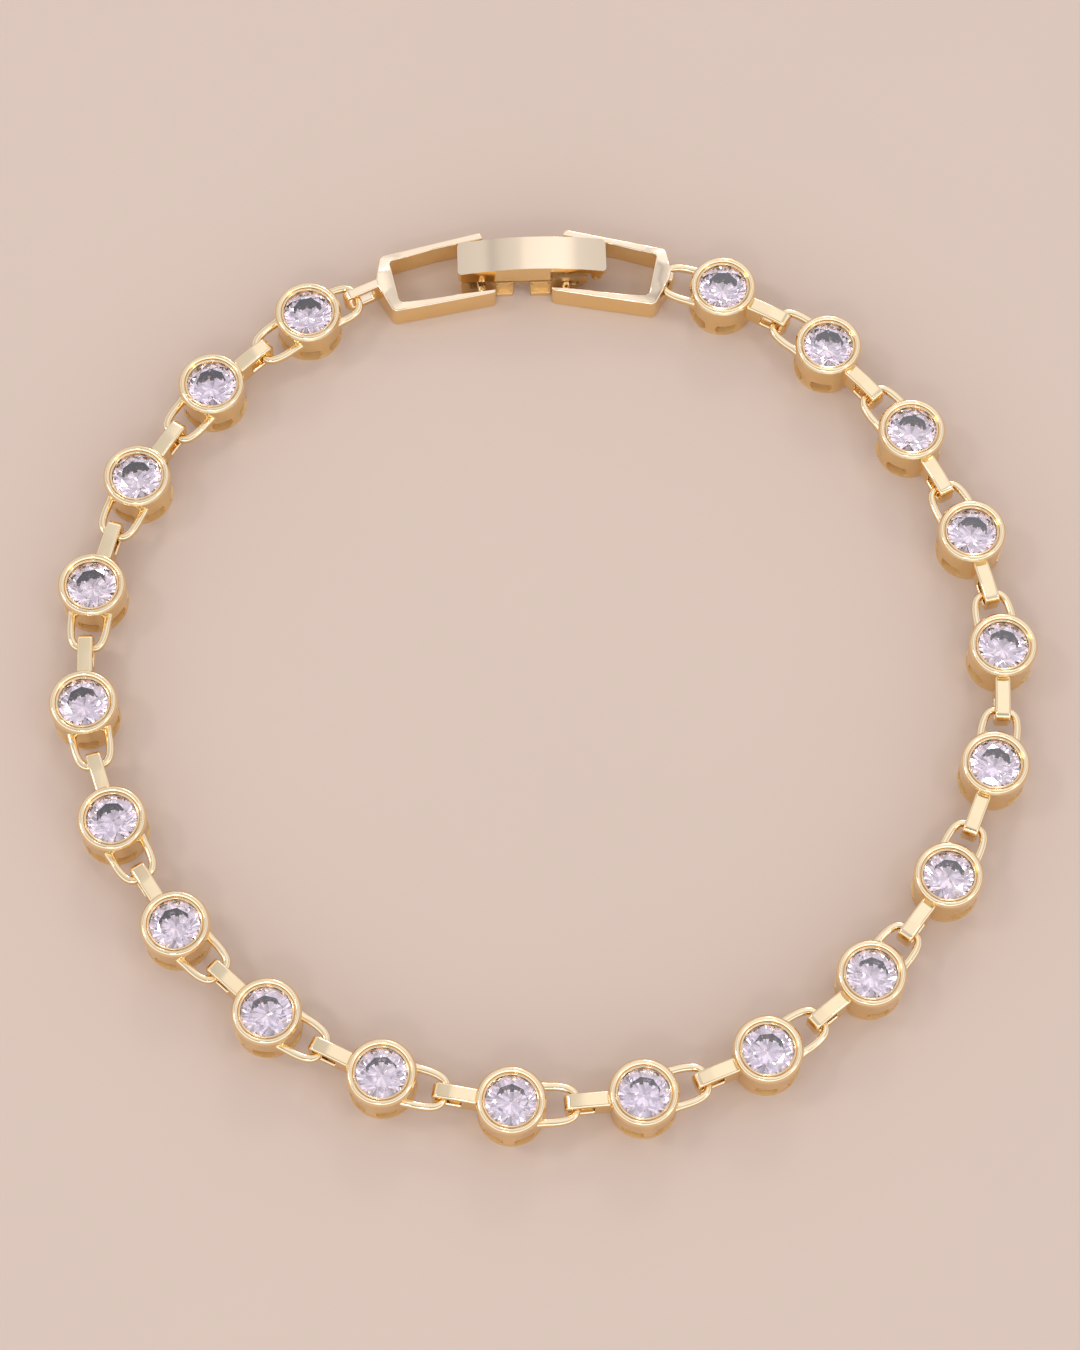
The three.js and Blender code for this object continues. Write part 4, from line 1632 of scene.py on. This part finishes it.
@dataclass(frozen=True)
class Panel:
    """A soft light panel that faces the bracelet: its place and size in metres and how bright it is."""

    name: str
    place: tuple[float, float, float]
    size: Point
    radiance: float
    colour: Colour = (1.0, 0.98, 0.95)

    def hang(self) -> None:
        """Adds the panel's light to the scene."""
        data = bpy.data.lights.new(self.name, "AREA")
        data.shape = "RECTANGLE"
        data.size, data.size_y = self.size
        data.energy = self.radiance * math.pi * self.size[0] * self.size[1]
        data.color = self.colour
        light = stand(self.name, data)
        light.location = self.place
        light.rotation_euler = Vector(self.place).to_track_quat("Z", "Y").to_euler()


@dataclass
class Studio:
    """Camera, soft lights, the floor and a pale room.

    The room's ceiling is given from left to right by place and brightness. Pairs are where a soft band
    starts and ends: how high the low light reaches, how far back the front lies, and the dark cone.
    """

    elevation: float = 68.0
    distance: float = 0.2456
    lens_mm: float = 103.87
    clip_start: float = 0.01
    target: tuple[float, float, float] = (-0.000295, -0.001233, 0.00295)
    floor_reach: float = 1.5
    panels: tuple[Panel, ...] = (
        Panel("key", (0.06, 0.3, 0.74), (0.27, 0.5), 0.2),
        Panel("left_spark", (-0.5, 0.1, 0.62), (0.12, 0.12), 12.0),
        Panel("right_spark", (0.42, -0.12, 0.7), (0.09, 0.09), 10.0),
        Panel("front_spark", (-0.12, -0.55, 0.6), (0.13, 0.1), 11.0),
        Panel("back_spark", (0.1, 0.7, 0.45), (0.12, 0.1), 12.0),
    )
    room_colour: Colour = (0.96, 1.0, 1.12)
    ceiling: tuple[Point, ...] = (
        (0.0, 0.7), (0.2, 0.8), (0.235, 0.52), (0.3, 0.74), (0.45, 0.86), (0.6, 0.98),
        (0.72, 1.0), (0.75, 0.84), (1.0, 0.74),
    )
    low_top: Point = (0.45, 0.75)
    low_bottom: Point = (0.02, 0.3)
    low_gain: float = 0.3
    front_depth: Point = (-0.5, 0.3)
    front_gain: float = 0.6
    shade_cone: Point = (0.94, 0.985)
    shade_depth: float = 0.42

    def build(self) -> None:
        """Sets up the whole studio."""
        self._camera()
        self._floor()
        self._room()
        for panel in self.panels:
            panel.hang()
        bpy.context.scene.view_settings.view_transform = "Standard"

    def _back(self) -> Vector:
        """The direction from the bracelet to the camera."""
        angle = math.radians(self.elevation)
        return Vector((0, -math.cos(angle), math.sin(angle)))

    def _camera(self) -> None:
        """Places the camera at the photograph's angle."""
        data = bpy.data.cameras.new("camera")
        data.lens = self.lens_mm
        data.clip_start = self.clip_start
        camera = stand("camera", data)
        camera.location = Vector(self.target) + self._back() * self.distance
        camera.rotation_euler = (-self._back()).to_track_quat("-Z", "Y").to_euler()
        bpy.context.scene.camera = camera

    def _floor(self) -> None:
        """A pale floor under the bracelet."""
        turns = ((-1, -1), (1, -1), (1, 1), (-1, 1))
        corners = [Vector((x * self.floor_reach, y * self.floor_reach, 0)) for x, y in turns]
        stand("floor", solid("floor", corners, [(0, 1, 2, 3)], FloorFinish().material()))

    def _room(self) -> None:
        """A pale room with a shaded ceiling, brighter low in front and darker behind the camera."""
        world = bpy.data.worlds.new("room")
        bpy.context.scene.world = world
        world.use_nodes = True
        bench = Bench(world.node_tree)
        direction = bench.wire("ShaderNodeTexCoord", "Generated")
        values = {0: direction, 1: tuple(self._back())}
        facing = bench.wire("ShaderNodeVectorMath", "Value", values, {"operation": "DOT_PRODUCT"})
        split = bench.add("ShaderNodeSeparateXYZ", {"Vector": direction})
        side, depth, height = (Wire(bench, split.outputs[axis]) for axis in "XYZ")
        stops = [(place, (level, level, level)) for place, level in self.ceiling]
        ceiling = bench.wire("ShaderNodeValToRGB", "Color", {"Fac": side + 0.5}, {"stops": stops})
        low = (1 - height.smooth(*self.low_top)) * height.smooth(*self.low_bottom)
        front = 1 - depth.smooth(*self.front_depth)
        shade = facing.smooth(*self.shade_cone) * self.shade_depth
        level = ceiling + low * (front * self.front_gain + self.low_gain) - shade
        values = {"Color": (*self.room_colour, 1.0), "Strength": level}
        bench.connect(world.node_tree.nodes["Background"], values)


def main() -> None:
    logging.basicConfig(level=logging.INFO, format="%(name)s: %(message)s")
    finishes = Finishes.build()
    clasp = Clasp(finishes)
    clasp.build()
    Chain(TubeLink(finishes), RoundStone(finishes)).build(clasp.shift())
    Studio().build()


if __name__ == "__main__":
    main()
